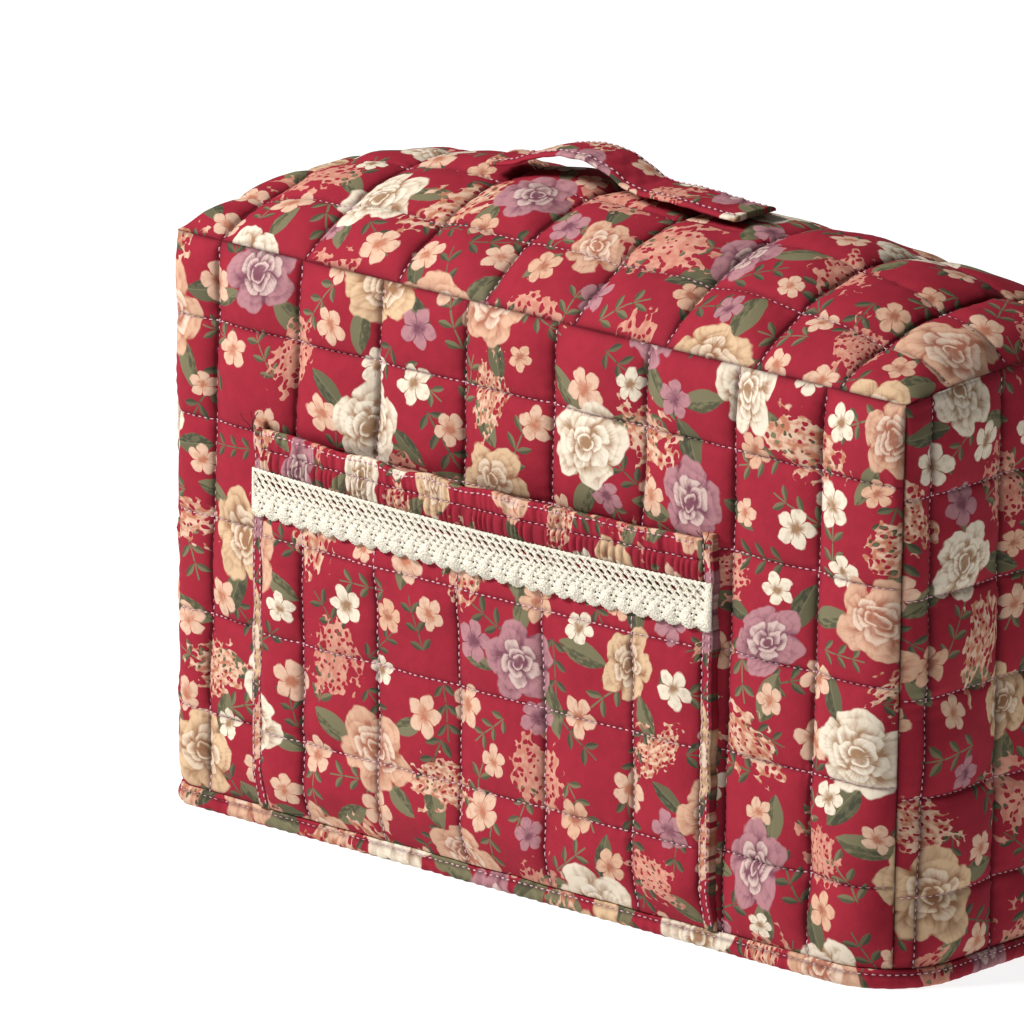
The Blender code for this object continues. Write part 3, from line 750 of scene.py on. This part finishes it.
class Paint:
    """Small helpers that add shader nodes and hand back their outputs."""

    def __init__(self, name, roughness):
        self.material = bpy.data.materials.new(name)
        self.material.use_nodes = True
        self.tree = self.material.node_tree
        self.surface = self.tree.nodes["Principled BSDF"]
        self.surface.inputs["Roughness"].default_value = roughness

    def add(self, kind, **settings):
        made = self.tree.nodes.new(kind)
        for key, value in settings.items():
            setattr(made, key, value)
        return made

    def feed(self, socket, value):
        if isinstance(value, bpy.types.NodeSocket):
            self.tree.links.new(value, socket)
        else:
            socket.default_value = value

    def maths(self, operation, *values, clamp=False):
        made = self.add("ShaderNodeMath", operation=operation, use_clamp=clamp)
        for socket, value in zip(made.inputs, values):
            self.feed(socket, value)
        return made.outputs[0]

    def times(self, *values, clamp=False):
        return self.maths("MULTIPLY", *values, clamp=clamp)

    def plus(self, *values, clamp=False):
        return self.maths("ADD", *values, clamp=clamp)

    def minus(self, *values, clamp=False):
        return self.maths("SUBTRACT", *values, clamp=clamp)

    def mix(self, share, first, second):
        made = self.add("ShaderNodeMix", data_type="RGBA")
        self.feed(made.inputs[0], share)
        self.feed(made.inputs[6], first)
        self.feed(made.inputs[7], second)
        return made.outputs[2]

    def attribute(self, name):
        return self.add("ShaderNodeAttribute", attribute_name=name).outputs["Vector"]

    def split(self, vector):
        made = self.add("ShaderNodeSeparateXYZ")
        self.feed(made.inputs[0], vector)
        return made.outputs[0], made.outputs[1], made.outputs[2]

    def join(self, x, y, z):
        made = self.add("ShaderNodeCombineXYZ")
        for socket, value in zip(made.inputs, (x, y, z)):
            self.feed(socket, value)
        return made.outputs[0]

    def noise(self, vector, scale, detail=2.0):
        made = self.add("ShaderNodeTexNoise")
        self.feed(made.inputs["Vector"], vector)
        made.inputs["Scale"].default_value = scale
        made.inputs["Detail"].default_value = detail
        return made.outputs["Fac"], made.outputs["Color"]

    def step(self, value, low, high):
        """0 below low, 1 above high, and smooth between."""
        made = self.add("ShaderNodeMapRange", interpolation_type="SMOOTHSTEP")
        self.feed(made.inputs["Value"], value)
        made.inputs["From Min"].default_value = low
        made.inputs["From Max"].default_value = high
        return made.outputs[0]


def warped(paint, layer, amount, scale):
    """A stamp's own coordinates, drawn by an unsteady hand."""
    x, y, seed = paint.split(paint.attribute(layer))
    far = paint.times(seed, 53.0)
    place = paint.join(x, y, far)
    _, colour = paint.noise(place, scale, 2.0)
    dx, dy, _ = paint.split(colour)
    x = paint.plus(x, paint.times(paint.minus(dx, 0.5), amount))
    y = paint.plus(y, paint.times(paint.minus(dy, 0.5), amount))
    return x, y, seed, place


def polar(paint, x, y):
    """Distance and angle about the stamp's middle."""
    square = paint.plus(paint.times(x, x), paint.times(y, y))
    return paint.maths("SQRT", square), paint.maths("ARCTAN2", y, x)


def paint_rose(paint, under):
    """Rings of petals, pale at their lips and dark where the next ring lies on them."""
    x, y, seed, place = warped(paint, "rose", 0.46, 1.7)
    far, angle = polar(paint, x, y)
    light = paint.attribute("rose_light")
    dark = paint.attribute("rose_dark")
    streak_at = paint.join(paint.times(angle, 5.0), far, paint.times(seed, 53.0))
    streak, _ = paint.noise(streak_at, 2.2, 2.0)
    blotch, _ = paint.noise(place, 3.2, 2.0)
    fleck = paint.plus(paint.times(streak, 0.9), paint.times(blotch, 1.1))
    fleck = paint.minus(fleck, 1.0)
    colour = under
    for number, (radius, lobes, depth, turn) in enumerate(ROSE_RINGS):
        wave = paint.plus(paint.times(angle, lobes), paint.times(seed, turn))
        lobe = paint.maths("POWER", paint.maths("ABSOLUTE", paint.maths("COSINE", wave)), 0.5)
        edge = paint.plus(radius * (1 - depth), paint.times(lobe, radius * depth))
        ratio = paint.maths("DIVIDE", far, edge)
        inside = paint.step(ratio, 1.0, 0.94)
        lip = paint.times(paint.step(ratio, 0.52, 0.92), paint.step(lobe, 0.25, 0.80))
        lip = paint.plus(lip, paint.times(fleck, 1.2), clamp=True)
        pale = paint.mix(0.45, light, PALE) if number > 1 else light
        petal = paint.mix(lip, dark, pale)
        colour = paint.mix(inside, colour, petal)
    return colour


def paint_blossom(paint, under):
    """Small open flowers of five petals."""
    x, y, seed, place = warped(paint, "blossom", 0.44, 1.5)
    far, angle = polar(paint, x, y)
    wave = paint.plus(paint.times(angle, 2.5), paint.times(seed, 9.0))
    lobe = paint.maths("POWER", paint.maths("ABSOLUTE", paint.maths("COSINE", wave)), 0.6)
    edge = paint.plus(0.56, paint.times(lobe, 0.44))
    ratio = paint.maths("DIVIDE", far, edge)
    inside = paint.step(ratio, 1.0, 0.90)
    lip = paint.times(paint.step(ratio, 0.08, 0.55), paint.step(lobe, 0.10, 0.45))
    fleck, _ = paint.noise(place, 3.4, 2.0)
    lip = paint.plus(lip, paint.times(paint.minus(fleck, 0.52), 1.5), clamp=True)
    petal = paint.mix(lip, paint.attribute("blossom_dark"), paint.attribute("blossom_light"))
    return paint.mix(inside, under, petal)


def paint_spray(paint, under):
    """Sprays of tiny florets that run together, with the ground showing between them."""
    x, y, seed, place = warped(paint, "spray", 0.30, 2.6)
    far, _ = polar(paint, x, y)
    cells = paint.add("ShaderNodeTexVoronoi", feature="F1", voronoi_dimensions="2D")
    aside = paint.plus(x, paint.times(seed, 53.0))
    paint.feed(cells.inputs["Vector"], paint.join(aside, paint.times(y, 0.7), 0.0))
    cells.inputs["Scale"].default_value = 6.0
    gap = paint.plus(0.20, paint.times(paint.times(far, far), 0.30))
    full = paint.step(paint.maths("DIVIDE", cells.outputs["Distance"], gap), 0.88, 1.04)
    broken, _ = paint.noise(place, 2.4, 1.0)
    edge = paint.plus(far, paint.times(paint.minus(broken, 0.5), 2.2))
    within = paint.step(edge, 0.86, 0.80)
    shade, _ = paint.noise(place, 6.0, 1.0)
    share = paint.step(shade, 0.35, 0.65)
    petal = paint.mix(share, paint.attribute("spray_dark"), paint.attribute("spray_light"))
    return paint.mix(paint.times(within, full), under, petal)


def leaf_shape(paint, x, y):
    """1 inside a pointed leaf that runs from x = -1 to 1."""
    wide = paint.minus(1.0, paint.times(x, x), clamp=True)
    wide = paint.maths("POWER", wide, 0.85)
    return paint.step(paint.minus(wide, paint.maths("ABSOLUTE", y)), 0.0, 0.12)


def paint_leaf(paint, under):
    """Broad single leaves with a pale midrib and one darker half."""
    x, y, _, place = warped(paint, "leaf", 0.25, 1.2)
    inside = leaf_shape(paint, x, y)
    half = paint.step(y, -0.15, 0.15)
    fleck, _ = paint.noise(place, 3.5, 2.0)
    half = paint.times(half, paint.step(fleck, 0.35, 0.6))
    colour = paint.mix(half, paint.attribute("leaf_light"), paint.attribute("leaf_dark"))
    rib = paint.step(paint.maths("ABSOLUTE", y), 0.09, 0.03)
    colour = paint.mix(paint.times(rib, 0.45), colour, (0.19, 0.17, 0.09, 1.0))
    return paint.mix(inside, under, colour)


def paint_sprig(paint, under):
    """Thin stems with three pairs of small leaves."""
    x, y, _, _ = warped(paint, "sprig", 0.2, 1.0)
    side = paint.maths("ABSOLUTE", y)
    along = paint.times(x, 1.5)
    part = paint.maths("FRACT", paint.plus(along, 1.5))
    ahead = paint.minus(part, 0.08)
    out = paint.times(side, 1.05)
    a = paint.plus(paint.times(ahead, 0.64), paint.times(out, 0.77))
    b = paint.minus(paint.times(out, 0.64), paint.times(ahead, 0.77))
    leaf_x = paint.maths("DIVIDE", paint.minus(a, 0.50), 0.42)
    leaf_y = paint.maths("DIVIDE", b, 0.19)
    leaf = leaf_shape(paint, leaf_x, leaf_y)
    within = paint.step(paint.maths("ABSOLUTE", x), 1.0, 0.98)
    stem = paint.times(paint.step(side, 0.055, 0.03), within)
    shape = paint.maths("MAXIMUM", paint.times(leaf, within), stem)
    shade = paint.step(leaf_y, -0.2, 0.3)
    colour = paint.mix(shade, paint.attribute("sprig_light"), paint.attribute("sprig_dark"))
    return paint.mix(shape, under, colour)


def cloth_bump(paint, strength=0.35):
    """Weave and small crumples, as a bump."""
    place = paint.add("ShaderNodeTexCoord").outputs["Object"]
    weave, _ = paint.noise(place, 1600.0, 1.0)
    crumple, _ = paint.noise(place, 150.0, 3.0)
    height = paint.plus(paint.times(weave, 0.35), crumple)
    bump = paint.add("ShaderNodeBump")
    bump.inputs["Strength"].default_value = strength
    bump.inputs["Distance"].default_value = 0.0006
    paint.feed(bump.inputs["Height"], height)
    paint.feed(paint.surface.inputs["Normal"], bump.outputs[0])
    return crumple, weave


def printed_cotton():
    """Crimson cotton with its floral print, darkened by painted shade along stitched lines, seams and
    gathers.
    """
    paint = Paint("printed_cotton", 0.86)
    crumple, weave = cloth_bump(paint)
    ground = paint.mix(paint.step(crumple, 0.35, 0.65), RED, tuple(c * 0.90 for c in RED[:3]) + (1.0,))
    ground = paint.mix(paint.times(weave, 0.30), ground, RED_SLUB)
    colour = paint_sprig(paint, ground)
    colour = paint_leaf(paint, colour)
    colour = paint_spray(paint, colour)
    colour = paint_blossom(paint, colour)
    colour = paint_rose(paint, colour)
    # Painted shade: the colour is multiplied towards CREASE_SHADE beside stitched lines, seams and gathers
    painted_shade = paint.add("ShaderNodeAttribute", attribute_name="painted_shade").outputs["Fac"]
    shaded = paint.add("ShaderNodeMix", data_type="RGBA", blend_type="MULTIPLY")
    paint.feed(shaded.inputs[0], painted_shade)
    paint.feed(shaded.inputs[6], colour)
    shaded.inputs[7].default_value = CREASE_SHADE
    paint.feed(paint.surface.inputs["Base Color"], shaded.outputs[2])
    paint.surface.inputs["Specular IOR Level"].default_value = 0.15
    return paint.material


def plain_cotton(name, colour, roughness=0.9):
    """Plain cotton with a fine weave."""
    paint = Paint(name, roughness)
    crumple, _ = cloth_bump(paint)
    dark = tuple(c * 0.82 for c in colour[:3]) + (1.0,)
    paint.feed(paint.surface.inputs["Base Color"], paint.mix(crumple, colour, dark))
    paint.surface.inputs["Specular IOR Level"].default_value = 0.25
    return paint.material


def cotton_lace():
    """Ivory cotton thread, worked close, with painted shade between the cords."""
    paint = Paint("cotton_lace", 0.9)
    place = paint.add("ShaderNodeTexCoord").outputs["Object"]
    cord = paint.add("ShaderNodeTexVoronoi", feature="F1")
    paint.feed(cord.inputs["Vector"], place)
    cord.inputs["Scale"].default_value = 900.0
    fuzz, _ = paint.noise(place, 1400.0, 2.0)
    height = paint.minus(paint.times(fuzz, 0.7), cord.outputs["Distance"])
    bump = paint.add("ShaderNodeBump")
    bump.inputs["Strength"].default_value = 0.8
    bump.inputs["Distance"].default_value = 0.0006
    paint.feed(bump.inputs["Height"], height)
    paint.feed(paint.surface.inputs["Normal"], bump.outputs[0])
    # Painted shade: darker towards the hollows between the cords
    shade = paint.step(cord.outputs["Distance"], 0.25, 0.75)
    paint.feed(paint.surface.inputs["Base Color"], paint.mix(shade, LACE, LACE_SHADE))
    paint.surface.inputs["Specular IOR Level"].default_value = 0.2
    return paint.material


def stitch_paths(outer, lines, lift=0.00025):
    """Polylines along the stitched rows and columns of a grid, with their normals."""
    along = np.gradient(outer, axis=0)
    up = np.gradient(outer, axis=1)
    normal = np.cross(along, up)
    normal /= np.maximum(np.linalg.norm(normal, axis=-1, keepdims=True), 1e-12)
    paths = []
    for j in lines.get("rows", []):
        paths.append((outer[:, j] + normal[:, j] * lift, normal[:, j]))
    for i in lines.get("columns", []):
        paths.append((outer[i] + normal[i] * lift, normal[i]))
    return paths


def stitches(name, paths, material, long=STITCH_LONG, gap=STITCH_GAP, radius=STITCH_RADIUS):
    """Short thread stitches laid along polylines."""
    points, faces = [], []
    for line, normals in paths:
        steps = np.linalg.norm(np.diff(line, axis=0), axis=1)
        length = np.concatenate([[0.0], np.cumsum(steps)])
        starts = np.arange(0.002, length[-1] - long - 0.002, long + gap)

        def at(where, values):
            return np.stack([np.interp(where, length, values[:, k]) for k in range(3)], axis=-1)

        first = at(starts, line)
        last = at(starts + long, line)
        middle = at(starts + long / 2, line)
        up = at(starts + long / 2, normals)
        up /= np.linalg.norm(up, axis=1, keepdims=True)
        ahead = last - first
        ahead /= np.linalg.norm(ahead, axis=1, keepdims=True)
        side = np.cross(ahead, up)
        for k in range(len(starts)):
            base = len(points)
            points.append(first[k] - up[k] * radius * 0.6)
            for share in (0.22, 0.78):
                centre = first[k] * (1 - share) + last[k] * share
                centre = 0.5 * centre + 0.5 * (middle[k] + (centre - (first[k] + last[k]) / 2))
                for turn in range(4):
                    angle = pi / 4 + turn * pi / 2
                    points.append(centre + radius * (np.cos(angle) * side[k] * 1.2 + np.sin(angle) * up[k]))
            points.append(last[k] - up[k] * radius * 0.6)
            for turn in range(4):
                follow = (turn + 1) % 4
                a, b = base + 1 + turn, base + 1 + follow
                faces.append((base, b, a))
                faces.append((a, b, b + 4, a + 4))
                faces.append((base + 9, a + 4, b + 4))
    made = mesh_object(name, np.array(points) + MIDDLE, faces, [material])
    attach(made, BODY)
    return made


def finish_piece(made, slot, *nodes):
    """Puts a piece on the body, in place of its solids."""
    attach(made, BODY)
    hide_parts(*nodes)
    return made


def quilted_pieces(cotton, lining, thread):
    """The four walls and the top; hands back the top's outer points."""
    walls = (
        ("front_wall_cloth", "front_panel", FRONT_COLUMNS, FRONT_ROWS),
        ("right_wall_cloth", "right_side_panel", SIDE_COLUMNS, SIDE_ROWS),
        ("back_wall_cloth", "back_panel", BACK_COLUMNS, FRONT_ROWS),
        ("left_wall_cloth", "left_side_panel", SIDE_COLUMNS, SIDE_ROWS),
    )
    paths = []
    for turn, (name, node, columns, rows) in enumerate(walls):
        outer, inner, spots, lines = wall_grids(turn, columns, rows, 100 + 7 * turn)
        made = cloth_piece(name, outer, inner, spots, [cotton, lining], 11 + turn)
        finish_piece(made, "quilted_cotton", node)
        paths += stitch_paths(outer, lines)
    outer, inner, spots, lines = top_grids(180)
    made = cloth_piece("top_cloth", outer, inner, spots, [cotton, lining], 29)
    finish_piece(made, "quilted_cotton", "top_panel")
    paths += stitch_paths(outer, lines)
    stitches("quilting_thread", paths, thread)
    return outer


def hem_piece(cotton, thread):
    """The binding round the lower edge, gathered a little along its stitching."""
    profile = [
        (0.0002, HEM_TOP),
        (0.0011, HEM_TOP + 0.0001),
        (0.0019, HEM_TOP - 0.0009),
        (0.0021, HEM_TOP - 0.0021),
        (HEM_BULGE, 0.0052),
        (HEM_BULGE + 0.0002, 0.0036),
        (HEM_BULGE - 0.0001, 0.0020),
        (HEM_BULGE * 0.7, 0.0007),
        (HEM_BULGE * 0.3, 0.0),
        (-CLOTH * 0.5, 0.0),
        (-CLOTH - 0.0006, 0.0),
        (-CLOTH - 0.0015, 0.0012),
        (-CLOTH - 0.0016, 0.0050),
        (-CLOTH - 0.0012, HEM_TOP),
        (-CLOTH - 0.0003, HEM_TOP),
    ]
    count = len(profile)
    rings = []
    turns = []
    shares = []
    for turn in range(4):
        steps = int(2 * half_sizes(turn)[0] / HEM_STEP)
        for k in range(steps):
            turns.append(turn)
            shares.append(-1 + 2 * k / steps)
    travelled = 0.0
    spots = []
    for turn, share in zip(turns, shares):
        ring = []
        for n, (out, z) in enumerate(profile):
            wave = ripples(310 + n // 3, np.array(travelled), 4, 0.0075)
            loose = 0.00035 if 2 <= n <= 8 else 0.0
            along = np.array(share * wall_end(turn, share, z))
            ring.append(wall_point(turn, along, z, out + loose * float(wave)))
            ring[-1][2] = z
        rings.append(ring)
        spots.append(travelled)
        travelled += HEM_STEP
    outer = np.array(rings)
    total = len(rings)
    points = outer.reshape(-1, 3) + MIDDLE
    number = np.arange(total * count).reshape(total, count)
    follow = np.roll(number, -1, axis=0)
    up = np.roll(number, -1, axis=1)
    both = np.roll(follow, -1, axis=1)
    faces = np.stack([number, up, both, follow], axis=-1).reshape(-1, 4)
    made = mesh_object("hem_binding_cloth", points, faces, [cotton])
    # Painted shade along the binding's stitched line
    deep = np.exp(-np.abs(np.arange(count) - 3) / 0.5)
    shade_creases(made.data, np.tile(0.7 * deep, total))
    flat = np.zeros((total * count, 2))
    flat[:, 0] = np.repeat(spots, count)
    flat[:, 1] = np.tile([-0.001 * n for n in range(count)], total)
    lay_print(made.data, flat, faces, 41)
    finish_piece(made, "binding_cotton", "hem_binding")
    line = outer[:, 3]
    line = np.concatenate([line, line[:1]])
    away = line.copy()
    away[:, 2] = 0.0
    away = away / np.linalg.norm(away, axis=1, keepdims=True)
    stitches("hem_thread", [(line, away)], thread)


def lace_outline():
    """The lace's edge: a nearly straight top and a scalloped foot with small loops."""
    wide = POCKET_RIGHT - POCKET_LEFT
    count = int(wide / 0.0006)
    across = np.linspace(0.0, wide, count)
    scallop = np.abs(np.sin(pi * across / LACE_REPEAT)) ** 0.8
    loops = np.abs(np.sin(pi * across / (LACE_REPEAT / 5)))
    foot = LACE_TALL - 0.0006 + 0.0022 * scallop + 0.0006 * loops
    top = 0.0003 * np.sin(2 * pi * across / 0.0021)
    lower = [(x, t) for x, t in zip(across, foot)]
    upper = [(x, t) for x, t in zip(across[::-1][::2], top[::-1][::2])]
    return lower + upper


def lace_holes():
    """Holes of the lace, as rows of slanted ovals that get smaller towards its foot."""
    holes = []
    wide = POCKET_RIGHT - POCKET_LEFT
    random = np.random.default_rng(71)
    for down, long, narrow, slant, pitch, start in LACE_ROWS:
        for x in np.arange(start * pitch + 0.003, wide - 0.003, pitch):
            middle = np.array([x, down]) + random.normal(0, 0.00012, 2)
            size = np.array([long, narrow]) / 2 * random.uniform(0.86, 1.08)
            angles = np.arange(8) * pi / 4
            ring = np.stack([size[0] * np.cos(angles), size[1] * np.sin(angles)], axis=-1)
            turn = slant + random.normal(0, 0.06)
            spin = np.array([[np.cos(turn), np.sin(turn)], [-np.sin(turn), np.cos(turn)]])
            holes.append((middle, ring @ spin + middle, size, spin))
    return holes


def lace_piece(material):
    """The cotton lace band sewn across the pocket."""
    outline = lace_outline()
    holes = lace_holes()
    loops = [outline] + [[tuple(p) for p in ring] for _, ring, _, _ in holes]
    flat, edges = [], []
    for loop in loops:
        base = len(flat)
        flat += loop
        edges += [(base + k, base + (k + 1) % len(loop)) for k in range(len(loop))]
    made = delaunay_2d_cdt(flat, edges, [], 1, 1e-7)
    spots = np.array([tuple(p) for p in made[0]])
    faces = np.array([tuple(f) for f in made[2] if len(f) == 3])
    middles = spots[faces].mean(axis=1)
    kept = np.ones(len(faces), bool)
    for middle, _, size, spin in holes:
        away = (middles - middle) @ spin.T
        kept &= (away[:, 0] / size[0]) ** 2 + (away[:, 1] / size[1]) ** 2 > 0.84
    faces = faces[kept]
    count = len(spots)
    x = POCKET_LEFT + spots[:, 0]
    z = LACE_TOP - spots[:, 1]
    near = CLOTH + SEAM_SINK
    loose = 0.0004 * (1 + ripples(77, x, 4, 0.016)) * np.clip(spots[:, 1] / LACE_TALL, 0, 1)
    front = on_pocket(x, z, near + LACE_THICK + loose)
    back = on_pocket(x, z, near + loose)
    a, b, c = (spots[faces[:, k]] for k in range(3))
    area = (b[:, 0] - a[:, 0]) * (c[:, 1] - a[:, 1]) - (b[:, 1] - a[:, 1]) * (c[:, 0] - a[:, 0])
    faces[area > 0] = faces[area > 0][:, ::-1]
    solid = [tuple(f) for f in faces] + [tuple(count + k for k in f[::-1]) for f in faces]
    sides = {(f[k], f[(k + 1) % 3]) for f in faces.tolist() for k in range(3)}
    for first, second in sorted(sides):
        if (second, first) not in sides:
            solid.append((first, count + first, count + second, second))
    points = np.concatenate([front, back]) + MIDDLE
    made = mesh_object("lace_band", points, solid, [material])
    finish_piece(made, "cotton_lace", "lace_trim")
    size = (POCKET_RIGHT - POCKET_LEFT, LACE_TALL + 0.002)


def thread_ends(name, places, material):
    """Loose ends of sewing thread, curling out of the cloth."""
    random = np.random.default_rng(91)
    points, faces = [], []
    for x, z, out in places:
        for _ in range(3):
            spot = np.array([x + random.uniform(-0.002, 0.002), -DEPTH / 2 - out, z])
            way = np.array([random.uniform(-0.5, 0.5), -0.25, random.uniform(0.3, 1.0)])
            line = [spot]
            for _ in range(12):
                way = way + random.normal(0, 0.22, 3)
                way[1] = np.clip(way[1], -0.35, 0.1)
                way = way / np.linalg.norm(way)
                line.append(line[-1] + 0.0009 * way)
            line = np.array(line)
            ahead = np.gradient(line, axis=0)
            ahead /= np.linalg.norm(ahead, axis=1, keepdims=True)
            side = np.cross(ahead, np.array([0.0, 1.0, 0.0]))
            side /= np.linalg.norm(side, axis=1, keepdims=True)
            up = np.cross(side, ahead)
            base = len(points)
            for k in range(len(line)):
                for turn in range(4):
                    angle = turn * pi / 2
                    away = np.cos(angle) * side[k] + np.sin(angle) * up[k]
                    points.append(line[k] + 0.00022 * away)
            for k in range(len(line) - 1):
                for turn in range(4):
                    a = base + 4 * k + turn
                    b = base + 4 * k + (turn + 1) % 4
                    faces.append((a, b, b + 4, a + 4))
            faces.append(tuple(base + k for k in (3, 2, 1, 0)))
            faces.append(tuple(base + 4 * (len(line) - 1) + k for k in range(4)))
    made = mesh_object(name, np.array(points) + MIDDLE, faces, [material])
    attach(made, BODY)


def main():
    cotton = printed_cotton()
    lining = plain_cotton("wrong_side_cotton", LINING)
    thread = plain_cotton("sewing_thread", THREAD, 0.7)
    dark_thread = plain_cotton("dark_sewing_thread", DARK_THREAD, 0.7)
    top_face = quilted_pieces(cotton, lining, thread)
    hem_piece(cotton, thread)
    outer, inner, spots, lines = pocket_grids(400)
    made = cloth_piece("pocket_cloth", outer, inner, spots, [cotton, lining], 53)
    finish_piece(made, "quilted_cotton", "pocket_panel")
    stitches("pocket_thread", stitch_paths(outer, lines), thread)
    outer, inner, spots, lines = casing_grids(430)
    made = cloth_piece("pocket_casing_cloth", outer, inner, spots, [cotton, lining], 59)
    finish_piece(made, "quilted_cotton", "pocket_casing")
    stitches("casing_thread", stitch_paths(outer, lines), thread)
    paths = []
    for side, left in (("left", POCKET_LEFT), ("right", POCKET_RIGHT - POCKET_EDGE)):
        outer, inner, spots, lines = edge_grids(left, 450)
        made = cloth_piece(f"pocket_{side}_strip", outer, inner, spots, [cotton, cotton], 61)
        finish_piece(made, "binding_cotton", f"pocket_edge_{side}")
        paths += stitch_paths(outer, lines)
    stitches("strip_thread", paths, thread)
    lace_piece(cotton_lace())
    outer, inner, spots, lines = strap_grids(top_face, 470)
    made = cloth_piece("carrying_strap", outer, inner, spots, [cotton, cotton], 67)
    finish_piece(made, "binding_cotton", "handle_strap")
    stitches("strap_thread", stitch_paths(outer, lines), thread)
    thread_ends("loose_threads", THREAD_ENDS, dark_thread)


def add_camera():
    """The camera, far away with a long lens as in a catalogue picture."""
    data = bpy.data.cameras.new("camera")
    data.sensor_width = 36.0
    data.lens = CAMERA_LENS
    data.clip_end = 100.0
    camera = bpy.data.objects.new("camera", data)
    azimuth = radians(CAMERA_AZIMUTH)
    elevation = radians(CAMERA_ELEVATION)
    level = np.cos(elevation)
    back = Vector((np.sin(azimuth) * level, -np.cos(azimuth) * level, np.sin(elevation)))
    right = Vector((np.cos(azimuth), np.sin(azimuth), 0.0))
    turn = Matrix.Rotation(radians(CAMERA_ROLL), 3, back)
    right = turn @ right
    up = back.cross(right)
    aim = Vector(CAMERA_AIM) + right * CAMERA_ASIDE + up * CAMERA_ABOVE
    camera.location = aim + back * CAMERA_DISTANCE
    camera.rotation_euler = Matrix((right, up, back)).transposed().to_euler()
    bpy.context.scene.collection.objects.link(camera)
    bpy.context.scene.camera = camera


def add_area(name, place, aim, size, power, colour=(1, 1, 1)):
    """A soft rectangular lamp."""
    data = bpy.data.lights.new(name, "AREA")
    data.shape = "RECTANGLE"
    data.size = size[0]
    data.size_y = size[1]
    data.energy = power
    data.color = colour
    lamp = bpy.data.objects.new(name, data)
    lamp.location = place
    lamp.rotation_euler = (Vector(aim) - Vector(place)).to_track_quat("-Z", "Y").to_euler()
    bpy.context.scene.collection.objects.link(lamp)


def add_studio():
    """A pale floor, an even white room and one soft lamp."""
    world = bpy.context.scene.world or bpy.data.worlds.new("room")
    bpy.context.scene.world = world
    world.use_nodes = True
    world.node_tree.nodes["Background"].inputs[0].default_value = (1.0, 1.0, 1.0, 1.0)
    world.node_tree.nodes["Background"].inputs[1].default_value = ROOM_LIGHT
    add_area("key", (-1.5, -2.1, 2.5), (0, 0, 0.15), (1.0, 1.0), KEY_POWER)
    points = [(-8, -8, 0), (8, -8, 0), (8, 8, 0), (-8, 8, 0)]
    mesh = bpy.data.meshes.new("floor")
    mesh.from_pydata(points, [], [(0, 1, 2, 3)])
    paint = Paint("floor_paint", 0.9)
    paint.surface.inputs["Base Color"].default_value = (0.30, 0.30, 0.30, 1.0)
    paint.surface.inputs["Emission Color"].default_value = (1.0, 1.0, 1.0, 1.0)
    paint.surface.inputs["Emission Strength"].default_value = FLOOR_GLOW
    mesh.materials.append(paint.material)
    floor = bpy.data.objects.new("floor", mesh)
    bpy.context.scene.collection.objects.link(floor)
    bpy.context.scene.view_settings.view_transform = "Standard"


main()
add_camera()
add_studio()
